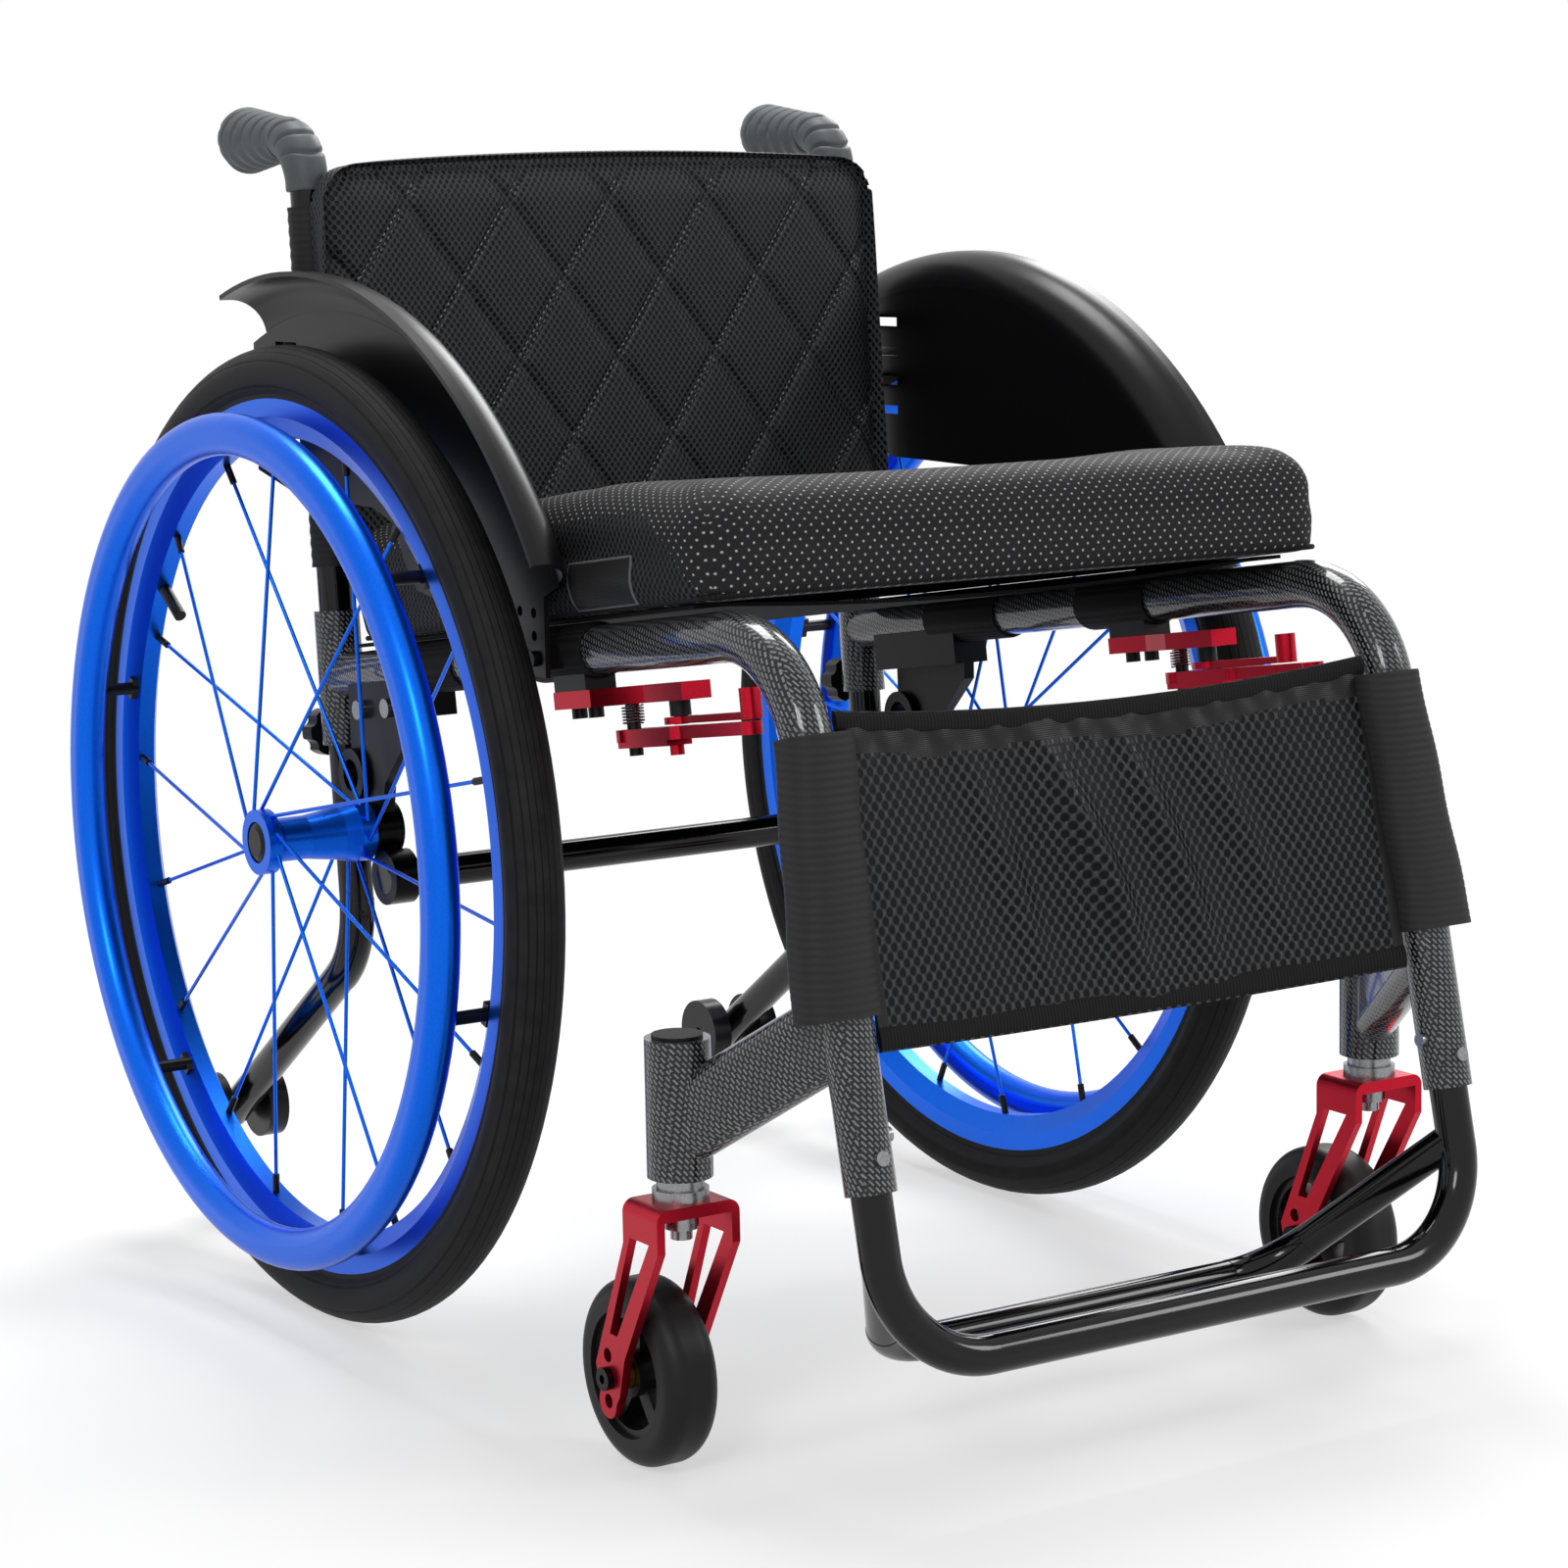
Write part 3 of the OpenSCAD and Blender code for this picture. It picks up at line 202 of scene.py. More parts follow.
# Two flat coordinates in metres, taken from the side of the piece that a point faces and running on round it
def flatPlace(mat, coords):
    sizes = addNode(mat, "ShaderNodeVectorMath", {"operation": "ABSOLUTE"}, {0: coords.outputs["Normal"]})
    signs = addNode(mat, "ShaderNodeVectorMath", {"operation": "SIGN"}, {0: coords.outputs["Normal"]})
    n = addNode(mat, "ShaderNodeSeparateXYZ", {}, {0: sizes.outputs[0]}).outputs
    way = addNode(mat, "ShaderNodeSeparateXYZ", {}, {0: signs.outputs[0]}).outputs
    at = addNode(mat, "ShaderNodeSeparateXYZ", {}, {0: coords.outputs["Object"]}).outputs
    notX = addNode(mat, "ShaderNodeMath", {"operation": "MAXIMUM"}, {0: n[1], 1: n[2]})
    notZ = addNode(mat, "ShaderNodeMath", {"operation": "MAXIMUM"}, {0: n[0], 1: n[1]})
    sideways = addNode(mat, "ShaderNodeMath", {"operation": "GREATER_THAN"}, {0: n[0], 1: notX.outputs[0]})
    upward = addNode(mat, "ShaderNodeMath", {"operation": "GREATER_THAN"}, {0: n[2], 1: notZ.outputs[0]})
    back = addNode(mat, "ShaderNodeMath", {"operation": "MULTIPLY"}, {0: at[1], 1: way[0]})
    across = addNode(mat, "ShaderNodeMix", {}, {0: sideways.outputs[0], 2: at[0], 3: back.outputs[0]})
    along = addNode(mat, "ShaderNodeMix", {}, {0: upward.outputs[0], 2: at[2], 3: at[1]})
    return addNode(mat, "ShaderNodeCombineXYZ", {}, {0: across.outputs[0], 1: along.outputs[0]}).outputs[0]


# Colour and roughness that drift a little over the surface, with a light bump, from grain of a real size in metres
def drift(mat, shader, place, grain, dark, light, rough, raised):
    noise = addNode(mat, "ShaderNodeTexNoise", {"Scale": 1 / grain, "Detail": 3}, {"Vector": place})
    tone = addNode(mat, "ShaderNodeMix", {"data_type": "RGBA", 6: lin(dark), 7: lin(light)}, {0: noise.outputs["Fac"]})
    spread = addNode(mat, "ShaderNodeMapRange", {"To Min": rough[0], "To Max": rough[1]},
                     {"Value": noise.outputs["Fac"]})
    lift = addNode(mat, "ShaderNodeBump", {"Strength": 0.1, "Distance": raised}, {"Height": noise.outputs["Fac"]})
    link(mat, tone.outputs[2], shader, "Base Color")
    link(mat, spread.outputs[0], shader, "Roughness")
    link(mat, lift.outputs[0], shader, "Normal")


# Carbon-look film under clear coat: pale tows of 4.6 x 2.3 mm in dark resin, coarser than real so that the weave shows
def carbonFilm():
    mat, shader, coords = startMaterial("carbonFilm", IOR=1.25, Coat_Weight=0.9, Coat_IOR=1.38, Coat_Roughness=0.04,
                                        Roughness=0.3)
    turn = addNode(mat, "ShaderNodeMapping", {"Rotation": (0, 0, math.radians(52))}, {"Vector": flatPlace(mat, coords)})
    tows = addNode(mat, "ShaderNodeTexBrick", {"Scale": 1.0, "Brick Width": 0.0046, "Row Height": 0.0023,
                                               "Mortar Size": 0.00076, "Mortar Smooth": 0.2, "Color1": lin("7e8083"),
                                               "Color2": lin("6a6c6f"), "Mortar": lin("030304")},
                   {"Vector": turn.outputs[0]})
    lift = addNode(mat, "ShaderNodeBump", {"Strength": 0.1, "Distance": 0.0001}, {"Height": tows.outputs["Fac"]})
    link(mat, tows.outputs["Color"], shader, "Base Color")
    link(mat, lift.outputs[0], shader, "Normal")
    return mat


# Powder coat: deep gloss with a faint orange peel, 0.8 mm
def powderCoat():
    mat, shader, coords = startMaterial("powderCoat", IOR=1.36)
    drift(mat, shader, coords.outputs["Object"], 0.0008, "030304", "070708", (0.08, 0.14), 0.00006)
    return mat


# Anodised aluminium: dyed oxide over a bead-blasted surface, soft bright highlights and a 1.2 mm grain
def anodised(name, dark, light, rough):
    mat, shader, coords = startMaterial(name, Metallic=0.9)
    drift(mat, shader, coords.outputs["Object"], 0.0012, dark, light, rough, 0.00006)
    return mat


# Zinc-plated steel or turned brass: bright, with a fine patchy sheen of 1.5 mm
def plainMetal(name, dark, light, rough):
    mat, shader, coords = startMaterial(name, Metallic=1.0)
    drift(mat, shader, coords.outputs["Object"], 0.0015, dark, light, rough, 0.00005)
    return mat


# Tyre rubber: matt, moulded ribs 4 mm apart round the wheel; the ribs are lighter in random patches and darkest in the
# grooves between them
def tyreRubber():
    mat, shader, coords = startMaterial("tyreRubber", IOR=1.22)
    noise = addNode(mat, "ShaderNodeTexNoise", {"Scale": 1 / 0.012, "Detail": 4}, {"Vector": coords.outputs["Object"]})
    ribs = addNode(mat, "ShaderNodeTexWave", {"bands_direction": "X", "Scale": 0.314 / 0.004},
                   {"Vector": coords.outputs["Object"]})
    groove = addNode(mat, "ShaderNodeMapRange", {"From Min": 0.0, "From Max": 0.2}, {"Value": ribs.outputs["Fac"]})
    # The grooves between the ribs take the darkest tone; the ribs vary lighter at random
    lighterOnRibs = addNode(mat, "ShaderNodeMath", {"operation": "MULTIPLY"}, {0: groove.outputs[0], 1: noise.outputs["Fac"]})
    tone = addNode(mat, "ShaderNodeMix", {"data_type": "RGBA", 6: lin("060607"), 7: lin("2a2a2b")},
                   {0: lighterOnRibs.outputs[0]})
    spread = addNode(mat, "ShaderNodeMapRange", {"To Min": 0.5, "To Max": 0.72}, {"Value": noise.outputs["Fac"]})
    lift = addNode(mat, "ShaderNodeBump", {"Strength": 0.5, "Distance": 0.0006}, {"Height": groove.outputs[0]})
    link(mat, tone.outputs[2], shader, "Base Color")
    link(mat, spread.outputs[0], shader, "Roughness")
    link(mat, lift.outputs[0], shader, "Normal")
    return mat


# Moulded soft rubber of the grips: dull grey with a 1.1 mm grain
def gripRubber():
    mat, shader, coords = startMaterial("gripRubber", IOR=1.3)
    drift(mat, shader, coords.outputs["Object"], 0.0011, "484d4f", "585d60", (0.42, 0.55), 0.0002)
    return mat


# Moulded plastic with a spark-eroded grain of 0.7 mm: satin, broad highlights
def satinPlastic(name, dark, light, rough):
    mat, shader, coords = startMaterial(name, IOR=1.28)
    drift(mat, shader, coords.outputs["Object"], 0.0007, dark, light, rough, 0.00012)
    return mat


# Spacer mesh: staggered oval holes on a pitch in metres between knitted threads; a hole is wide pitches across. The
# holes against the threads are the real pattern; the threads' grey, lighter than the black yarn, is painted sheen
def meshCloth(name, pitch, wide, hole, thread, rough):
    mat, shader, coords = startMaterial(name, IOR=1.22, Roughness=rough)
    turn = addNode(mat, "ShaderNodeMapping", {"Scale": (1, 0.75, 1), "Rotation": (0, 0, math.radians(45))},
                   {"Vector": flatPlace(mat, coords)})
    cells = addNode(mat, "ShaderNodeTexVoronoi", {"Scale": 1 / pitch, "Randomness": 0.0}, {"Vector": turn.outputs[0]})
    solid = addNode(mat, "ShaderNodeMapRange", {"From Min": wide / 2, "From Max": wide / 2 + 0.22},
                    {"Value": cells.outputs["Distance"]})
    # Near-black holes; threads in the lighter thread tone, which is painted sheen on black yarn
    tone = addNode(mat, "ShaderNodeMix", {"data_type": "RGBA", 6: lin(hole), 7: lin(thread)}, {0: solid.outputs[0]})
    lift = addNode(mat, "ShaderNodeBump", {"Strength": 0.7, "Distance": pitch * 0.2}, {"Height": solid.outputs[0]})
    link(mat, tone.outputs[2], shader, "Base Color")
    link(mat, lift.outputs[0], shader, "Normal")
    return mat


# Anti-slip cover: dark cloth with staggered printed dots 7.4 mm apart, on the cushion's own unrolled coordinates
def dottedCloth():
    mat, shader, coords = startMaterial("dottedCloth", IOR=1.22, Roughness=0.7)
    flat = addNode(mat, "ShaderNodeAttribute", {"attribute_name": "unrolled"})
    turn = addNode(mat, "ShaderNodeMapping", {"Rotation": (0, 0, math.radians(45))}, {"Vector": flat.outputs["Vector"]})
    cells = addNode(mat, "ShaderNodeTexVoronoi", {"Scale": 1 / 0.0052, "Randomness": 0.0}, {"Vector": turn.outputs[0]})
    dot = addNode(mat, "ShaderNodeMapRange", {"From Min": 0.165, "From Max": 0.1},
                  {"Value": cells.outputs["Distance"]})
    weave = addNode(mat, "ShaderNodeTexNoise", {"Scale": 1 / 0.0012, "Detail": 2}, {"Vector": coords.outputs["Object"]})
    ground = addNode(mat, "ShaderNodeMix", {"data_type": "RGBA", 6: lin("161617"), 7: lin("272729")},
                     {0: weave.outputs["Fac"]})
    tone = addNode(mat, "ShaderNodeMix", {"data_type": "RGBA", 7: lin("a6a7a8")},
                   {0: dot.outputs[0], 6: ground.outputs[2]})
    lift = addNode(mat, "ShaderNodeBump", {"Strength": 0.4, "Distance": 0.0004}, {"Height": dot.outputs[0]})
    link(mat, tone.outputs[2], shader, "Base Color")
    link(mat, lift.outputs[0], shader, "Normal")
    return mat


# Woven tape, webbing and satin: fine bands along one axis
def ribbed(name, pitch, direction, dark, light, depth, rough):
    mat, shader, coords = startMaterial(name, IOR=1.22, Roughness=rough)
    bands = addNode(mat, "ShaderNodeTexWave", {"bands_direction": direction, "Scale": 0.314 / pitch},
                    {"Vector": coords.outputs["Object"]})
    tone = addNode(mat, "ShaderNodeMix", {"data_type": "RGBA", 6: lin(dark), 7: lin(light)}, {0: bands.outputs["Fac"]})
    lift = addNode(mat, "ShaderNodeBump", {"Strength": 0.5, "Distance": depth}, {"Height": bands.outputs["Fac"]})
    link(mat, tone.outputs[2], shader, "Base Color")
    link(mat, lift.outputs[0], shader, "Normal")
    return mat


finish = dict(
    carbon=carbonFilm(), black=powderCoat(), tyre=tyreRubber(), grip=gripRubber(), dots=dottedCloth(),
    plate=anodised("blackAnodised", "0c0c0d", "141416", (0.26, 0.36)),  # axle plates and caster bolts
    blue=anodised("blueAnodised", "0355cc", "0c6cf0", (0.28, 0.36)),  # wheels
    red=anodised("redAnodised", "a30d22", "c2182f", (0.26, 0.36)),  # brakes and caster forks
    steel=plainMetal("zincSteel", "707274", "a2a4a6", (0.2, 0.34)),  # bolts, springs and stems
    brass=plainMetal("turnedBrass", "8a6a30", "a8853f", (0.25, 0.4)),  # caster spacers
    plastic=satinPlastic("satinPlastic", "0a0a0b", "121213", (0.3, 0.42)),  # clamps, caps and knobs
    guard=satinPlastic("guardPlastic", "08080a", "0e0e10", (0.26, 0.34)),  # side guards, smoother
    wheelCore=satinPlastic("casterPlastic", "101011", "19191a", (0.24, 0.34)),  # caster and roller cores
    polyurethane=satinPlastic("casterTyre", "131314", "1b1b1c", (0.4, 0.5)),  # caster tread, duller
    # The thread tones of the three meshes below are painted sheen on black yarn
    mesh=meshCloth("spacerMesh", 0.0032, 0.5, "060607", "3b3c3f", 0.46),  # back pad and sling
    panelMesh=meshCloth("panelMesh", 0.0034, 0.56, "040405", "303133", 0.6),  # cushion sides
    calfMesh=meshCloth("calfMesh", 0.0048, 0.66, "040405", "3e3f42", 0.34),  # calf strap, coarser
    satinBand=ribbed("satinBand", 0.0011, "Z", "1c1c1d", "262627", 0.0001, 0.36),  # strap's band and label
    binding=ribbed("bindingTape", 0.0022, "X", "0c0c0d", "1c1c1d", 0.0004, 0.75),  # tape, seams, seat sling
    sleeve=ribbed("ribbedSleeve", 0.0042, "Z", "272728", "2e2e2f", 0.00014, 0.55),  # sleeves on the tubes
    # The stitches' light grey is painted sheen on the thread
    thread=ribbed("quiltThread", 0.0014, "X", "6e6f71", "939496", 0.0002, 0.5),  # quilting stitches
)
wear = dict(side_frame="carbon", camber_tube="black", axle_plates="plate", plate_bolts="steel", wheel_axles="steel",
            stem_caps="plastic", back_tubes="black", guard="guard", guard_clamps="plastic", footrest_frame="black",
            footrest_screws="steel", brake_bars="red", brake_mounts="plastic", brake_springs="steel", brake_lever="red",
            brake_shoe="red", tip_arm="black", tip_rollers="wheelCore", star_knob="plastic", tyre="tyre", rim="blue",
            spokes="blue", hub="blue", handrim="blue", rim_fittings="plastic", release_button="plastic",
            caster_fork="red", caster_hardware="steel", caster_axle="plate", caster_tyre="polyurethane",
            caster_hub="wheelCore", back_sling="mesh", back_pad="mesh", seat_sling="binding", seat_cushion="dots",
            push_grips="grip", calf_strap="calfMesh", calf_sleeves="sleeve")
for nodeName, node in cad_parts.items():
    plain = nodeName.replace("_right", "").replace("_left", "")
    node.data.materials.clear()
    node.data.materials.append(finish[wear[plain]])
print("finishes assigned")


# Air pressure blows a closed pad out between the points that are held; far is the most a point may move
def inflate(piece, held, pressure, far, frames=20):
    group = piece.vertex_groups.new(name="held")
    group.add(held, 1.0, "REPLACE")
    before = [v.co.copy() for v in piece.data.vertices]
    cloth = piece.modifiers.new("cloth", "CLOTH")
    cloth.settings.use_pressure = True
    cloth.settings.uniform_pressure_force = pressure
    cloth.settings.vertex_group_mass = group.name
    cloth.settings.effector_weights.gravity = 0
    cloth.point_cache.frame_start = 1
    cloth.point_cache.frame_end = frames
    for f in range(1, frames + 1):
        scene.frame_set(f)
    pick(piece)
    bpy.ops.object.modifier_apply(modifier=cloth.name)
    for v, old in zip(piece.data.vertices, before):
        move = v.co - old
        if move.length > far:
            v.co = old + move.normalized() * far
    piece.vertex_groups.clear()
    scene.frame_set(1)


def slab(width, depth, height):
    deselect()
    bpy.ops.mesh.primitive_cube_add(size=1, location=(0, 0, 0))
    piece = bpy.context.object
    piece.scale = (width, depth, height)
    bpy.ops.object.transform_apply(location=False, rotation=False, scale=True)
    return piece


def bevelEdges(piece, along, width, segments):
    pick(piece)
    bpy.ops.object.mode_set(mode="EDIT")
    bpy.ops.mesh.select_all(action="DESELECT")
    bpy.ops.object.mode_set(mode="OBJECT")
    for e in piece.data.edges:
        a, b = (piece.data.vertices[i].co for i in e.vertices)
        e.select = abs((b - a).normalized().dot(along)) > 0.9
    bpy.ops.object.mode_set(mode="EDIT")
    bpy.ops.mesh.select_mode(type="EDGE")
    bpy.ops.mesh.bevel(offset=width, segments=segments, affect="EDGES")
    bpy.ops.object.mode_set(mode="OBJECT")


def remesh(piece, size):
    pick(piece)
    piece.data.remesh_voxel_size = size
    bpy.ops.object.voxel_remesh()


# channel, seam and crossing are in diamonds; backFrom is a share of the thickness
backPad = dict(width=0.410, low=0.066, high=0.3188, thick=0.022, back=-0.0139, corner=0.024, edge=0.0104, crown=0.006,
               diamond=(0.074, 0.103), channel=0.05, seam=0.03, sink=0.004, fade=0.008, border=0.002, backFrom=0.25,
               voxel=0.0026, pressure=4.5, puff=0.008)
padStitch = dict(apart=0.0046, aside=0.0018, halfLong=0.0019, halfWide=0.0009, high=0.0011, deep=0.0003, border=0.012,
                 crossing=0.05, most=60)


# Distances of a place on the pad from the two sets of quilting lines, in diamonds
def quiltLines(s, x, z):
    a = x / s["diamond"][0] + z / s["diamond"][1]
    b = x / s["diamond"][0] - z / s["diamond"][1]
    return abs(a - round(a)), abs(b - round(b))


def makeBackPad(s):
    tall = s["high"] - s["low"]
    piece = slab(s["width"], s["thick"], tall)
    bevelEdges(piece, Vector((0, 1, 0)), s["corner"], 8)
    applyModifier(piece, "BEVEL", width=s["edge"], segments=6, limit_method="ANGLE", angle_limit=math.radians(50))
    remesh(piece, s["voxel"])
    held = []
    for v in piece.data.vertices:
        v.co.z += s["crown"] * max(0.0, v.co.z / tall * 2) * (1 - (v.co.x / s["width"] * 2) ** 2)
        d = min(quiltLines(s, v.co.x, v.co.z))
        inside = min(s["width"] / 2 - abs(v.co.x), tall / 2 - abs(v.co.z))
        if v.co.y > s["backFrom"] * s["thick"]:
            held.append(v.index)
        elif d < s["channel"] and inside > s["border"]:
            v.co.y += s["sink"] * min(1.0, inside / s["fade"]) * (1 - d / s["channel"] * 0.6)
            if d < s["seam"]:
                held.append(v.index)
    inflate(piece, held, s["pressure"], s["puff"])
    applyModifier(piece, "SMOOTH", factor=0.4, iterations=2)
    stitches = makeStitches(s, padStitch, piece, tall)
    place = backPlace @ Matrix.Translation((0, s["back"] - s["thick"] / 2, (s["low"] + s["high"]) / 2))
    piece.data.transform(place)
    settle(piece, "backPad", finish["mesh"], replaces=["back_pad"])
    stitches.data.transform(place)
    settle(stitches, "padStitches", finish["thread"])


# Short raised stitches on both sides of each rising quilting line, laid on the filled pad
def makeStitches(s, stitch, pad, tall):
    wide, high = s["diamond"]
    slope = Vector((wide, 0, high)).normalized()
    side = Vector((high, 0, -wide)).normalized()
    long, half, deep = stitch["halfLong"], stitch["halfWide"], -stitch["deep"]
    shape = ((-long, 0, deep), (0, half, deep), (long, 0, deep), (0, -half, deep), (0, 0, stitch["high"]))
    points, faces = [], []
    reach = int(s["width"] / wide + tall / high) + 1
    for line in range(-reach, reach + 1):
        for k in range(-stitch["most"], stitch["most"] + 1):
            at = Vector((wide * line, 0, 0)) + slope * (k * stitch["apart"])
            inside = min(s["width"] / 2 - abs(at.x), tall / 2 - abs(at.z))
            if inside < stitch["border"] or quiltLines(s, at.x, at.z)[0] < stitch["crossing"]:
                continue
            for shift in (-stitch["aside"], stitch["aside"]):
                spot = at + side * shift
                hit, place, normal, _ = pad.ray_cast(Vector((spot.x, -0.2, spot.z)), Vector((0, 1, 0)))
                if not hit:
                    continue
                first = len(points)
                points += [place + slope * along + side * across + normal * up for along, across, up in shape]
                faces += [(first + i, first + (i + 1) % 4, first + 4) for i in range(4)]
                faces.append((first + 3, first + 2, first + 1, first))
    piece = newPiece("stitches", points, [], faces)
    faceOutward(piece)
    return piece


makeBackPad(backPad)
print("back pad sewn and filled")

seatCushion = dict(width=0.438, length=0.438, low=0.0192, thick=0.064, middle=-0.201, corner=0.030, edgeShare=0.4,
                   baseIn=0.003, baseR=0.009, waist=0.0015, crown=0.002, topHalf=0.012, rise=0.012, riseOver=0.15,
                   voxel=0.0055, pressure=4.0, puff=0.003, heldBelow=0.004)
sidePanel = dict(top=0.054, front=-0.157, lean=0.9, corner=0.02)
cushionLabel = dict(size=(0.066, 0.026), at=(-0.106, 0.0165), thick=0.0012, rimR=0.0009)
cushionSeam = dict(narrower=0.016, corner=0.014, height=0.0022, radius=0.0016)


# Is a place on the cushion in the mesh panel of its sides, which has one rounded corner
def inPanel(s, p, normal):
    front = s["front"] - (s["top"] - p.z) * s["lean"]
    r = s["corner"]
    cut = p.y - front < r and p.z > s["top"] - r and math.hypot(p.y - front - r, p.z - s["top"] + r) > r
    return abs(normal.x) > 0.5 and p.z < s["top"] and p.y > front and not cut


# Distance over a rounded edge: flat as far as the rounding, then round it, then down the side
def overEdge(out, drop, r):
    if out <= 0:
        return out
    turn = math.atan2(out, r - drop) if drop < r else math.pi / 2
    return r * turn + max(0.0, drop - r)


# How far the sides of the cushion stand above its middle, from nothing at the front
def sideRise(s, y):
    share = min(1.0, max(0.0, (y + s["length"] / 2) / s["riseOver"]))
    return s["rise"] * share * share * (3 - 2 * share)


# Inset and height of each ring: round the base, up the waisted side, over the top edge and in to the middle
def cushionSteps(s, r):
    b, t, c = s["baseR"], s["thick"], s["crown"]
    inner = s["width"] / 2 - r - s["topHalf"]
    steps = [(s["baseIn"] + b * (1 - math.sin(a)), b * (1 - math.cos(a))) for a in (0, 0.39, 0.79, 1.18, 1.57)]
    steps += [(0, 0.3 * t), (s["waist"], 0.45 * t), (0, 0.6 * t)]
    steps += [(r * (1 - math.cos(a)), t - c - r * (1 - math.sin(a))) for a in (0.31, 0.63, 0.94, 1.26, 1.57)]
    return steps + [(r + inner * f, t - c + c * math.sin(1.57 * f)) for f in (0.2, 0.4, 0.6, 0.8, 1.0)]


# Where each point of the cover lies when it is unrolled over the edges, for the printed dots
def unroll(s, piece, r):
    flat = piece.data.attributes.new("unrolled", "FLOAT_VECTOR", "CORNER")
    for p in piece.data.polygons:
        sideways = abs(p.normal.x) > abs(p.normal.y)
        for corner in p.loop_indices:
            at = piece.data.vertices[piece.data.loops[corner].vertex_index].co
            half, reach = (s["width"] / 2 - r, abs(at.x)) if sideways else (s["length"] / 2 - r, abs(at.y))
            top = s["thick"] + sideRise(s, at.y) * sideways
            over = half + overEdge(reach - half, max(0.0, top - at.z), r)
            if sideways:
                flat.data[corner].vector = (math.copysign(over, at.x), at.y, 0)
            else:
                flat.data[corner].vector = (at.x, math.copysign(over, at.y), 0)


def makeSeatCushion(s):
    w, l = s["width"], s["length"]
    r = s["edgeShare"] * s["thick"]
    rings = []
    for d, z in cushionSteps(s, r):
        outline = roundedRect(w - 2 * d, l - 2 * d, max(0.004, s["corner"] - d))
        rings.append([(x, y, z) for x, y in outline])
    piece = skinned(rings)
    remesh(piece, s["voxel"])
    for v in piece.data.vertices:
        v.co.z += sideRise(s, v.co.y) * (v.co.x / w * 2) ** 2 * v.co.z / s["thick"]
    held = [v.index for v in piece.data.vertices if v.co.z < s["heldBelow"]]
    inflate(piece, held, s["pressure"], s["puff"])
    applyModifier(piece, "SMOOTH", factor=0.4, iterations=2)
    applyModifier(piece, "SUBSURF", levels=1, render_levels=1)
    piece.data.materials.append(finish["dots"])
    piece.data.materials.append(finish["panelMesh"])
    for p in piece.data.polygons:
        if inPanel(sidePanel, p.center, p.normal):
            p.material_index = 1
    unroll(s, piece, r)
    label, rim = makeLabel(cushionLabel, piece, w / 2)
    place = seatPlace @ Matrix.Translation((0, s["middle"], s["low"]))
    piece.data.transform(place)
    settle(piece, "seatCushion", finish["dots"], replaces=["seat_cushion"])
    label.data.transform(place)
    settle(label, "cushionLabel", finish["satinBand"])
    rim.data.transform(place)
    settle(rim, "labelRim", finish["grip"])
    loop = roundedRect(w - cushionSeam["narrower"], l - cushionSeam["narrower"], cushionSeam["corner"], 12)
    seam = welt([place @ Vector((x, y, cushionSeam["height"])) for x, y in loop], cushionSeam["radius"])
    settle(seam, "cushionSeam", finish["binding"])


# Bare label on the side panel, with a raised rim of soft rubber
def makeLabel(s, cushion, half):
    deselect()
    bpy.ops.mesh.primitive_grid_add(x_subdivisions=16, y_subdivisions=8, size=1)
    piece = bpy.context.object
    edge = [v for v in piece.data.vertices if max(abs(v.co.x), abs(v.co.y)) > 0.499]
    order = [v.index for v in sorted(edge, key=lambda v: math.atan2(v.co.y, v.co.x))]
    beside = Matrix.Translation((-half - 0.006, *s["at"]))
    upright = Matrix.Rotation(math.radians(-90), 4, "Y") @ Matrix.Rotation(math.radians(90), 4, "Z")
    piece.data.transform(beside @ upright @ Matrix.Diagonal((*s["size"], 1, 1)))
    applyModifier(piece, "SHRINKWRAP", target=cushion, wrap_method="PROJECT", use_project_x=True,
                  use_positive_direction=True, use_negative_direction=True, offset=s["thick"] / 2)
    rim = welt([piece.data.vertices[i].co.copy() for i in order], s["rimR"])
    applyModifier(piece, "SOLIDIFY", thickness=s["thick"], offset=0)
    return piece, rim


makeSeatCushion(seatCushion)
print("seat cushion filled")


seatSling = dict(width=0.408, front=-0.382, back=0.040, height=0.0176, belly=0.007, level=0.016, thick=0.0022)
# Start and length of each wrap along the rail, its gap from the tube, its wall and the rounding of its ends
seatWraps = dict(places=((-0.112, 0.080), (-0.270, 0.070)), gap=0.0003, wall=0.0018, thinner=0.0004, rounding=0.002)


def makeSeatSling(s):
    deselect()
    bpy.ops.mesh.primitive_grid_add(x_subdivisions=40, y_subdivisions=40, size=1)
    piece = bpy.context.object
    piece.scale = (s["width"], s["back"] - s["front"], 1)
    bpy.ops.object.transform_apply(location=False, rotation=False, scale=True)
    for v in piece.data.vertices:
        u = min(1, abs(v.co.x) / (chair["railX"] - s["level"]))
        v.co.z -= s["belly"] * (1 - u * u)
    applyModifier(piece, "SOLIDIFY", thickness=s["thick"], offset=0)
    piece.data.transform(seatPlace @ Matrix.Translation((0, (s["front"] + s["back"]) / 2, s["height"])))
    settle(piece, "seatSling", finish["binding"], replaces=["seat_sling"])
    makeSeatWraps(seatWraps)


def makeSeatWraps(s):
    inner = chair["tubeR"] + s["gap"]
    outer = inner + s["wall"]
    alongRail = Matrix.Rotation(math.radians(-90), 4, "X")
    for n, (start, long) in enumerate(s["places"]):
        band = turned([(inner, 0), (inner, long), (outer - s["thinner"], long), (outer, long - s["rounding"]),
                       (outer, s["rounding"]), (outer - s["thinner"], 0)])
        band.data.transform(seatPlace @ onRight @ Matrix.Translation((0, start, 0)) @ alongRail)
        applyModifier(band, "MIRROR")
        settle(band, "seatWrap%d" % (n + 1), finish["binding"])


makeSeatSling(seatSling)

backSling = dict(low=0.070, high=0.296, narrower=0.014, height=-0.0127, thick=0.0018)
tubeSleeve = dict(gap=0.0002, wall=0.0024, ribDeep=0.0005, ribs=60)


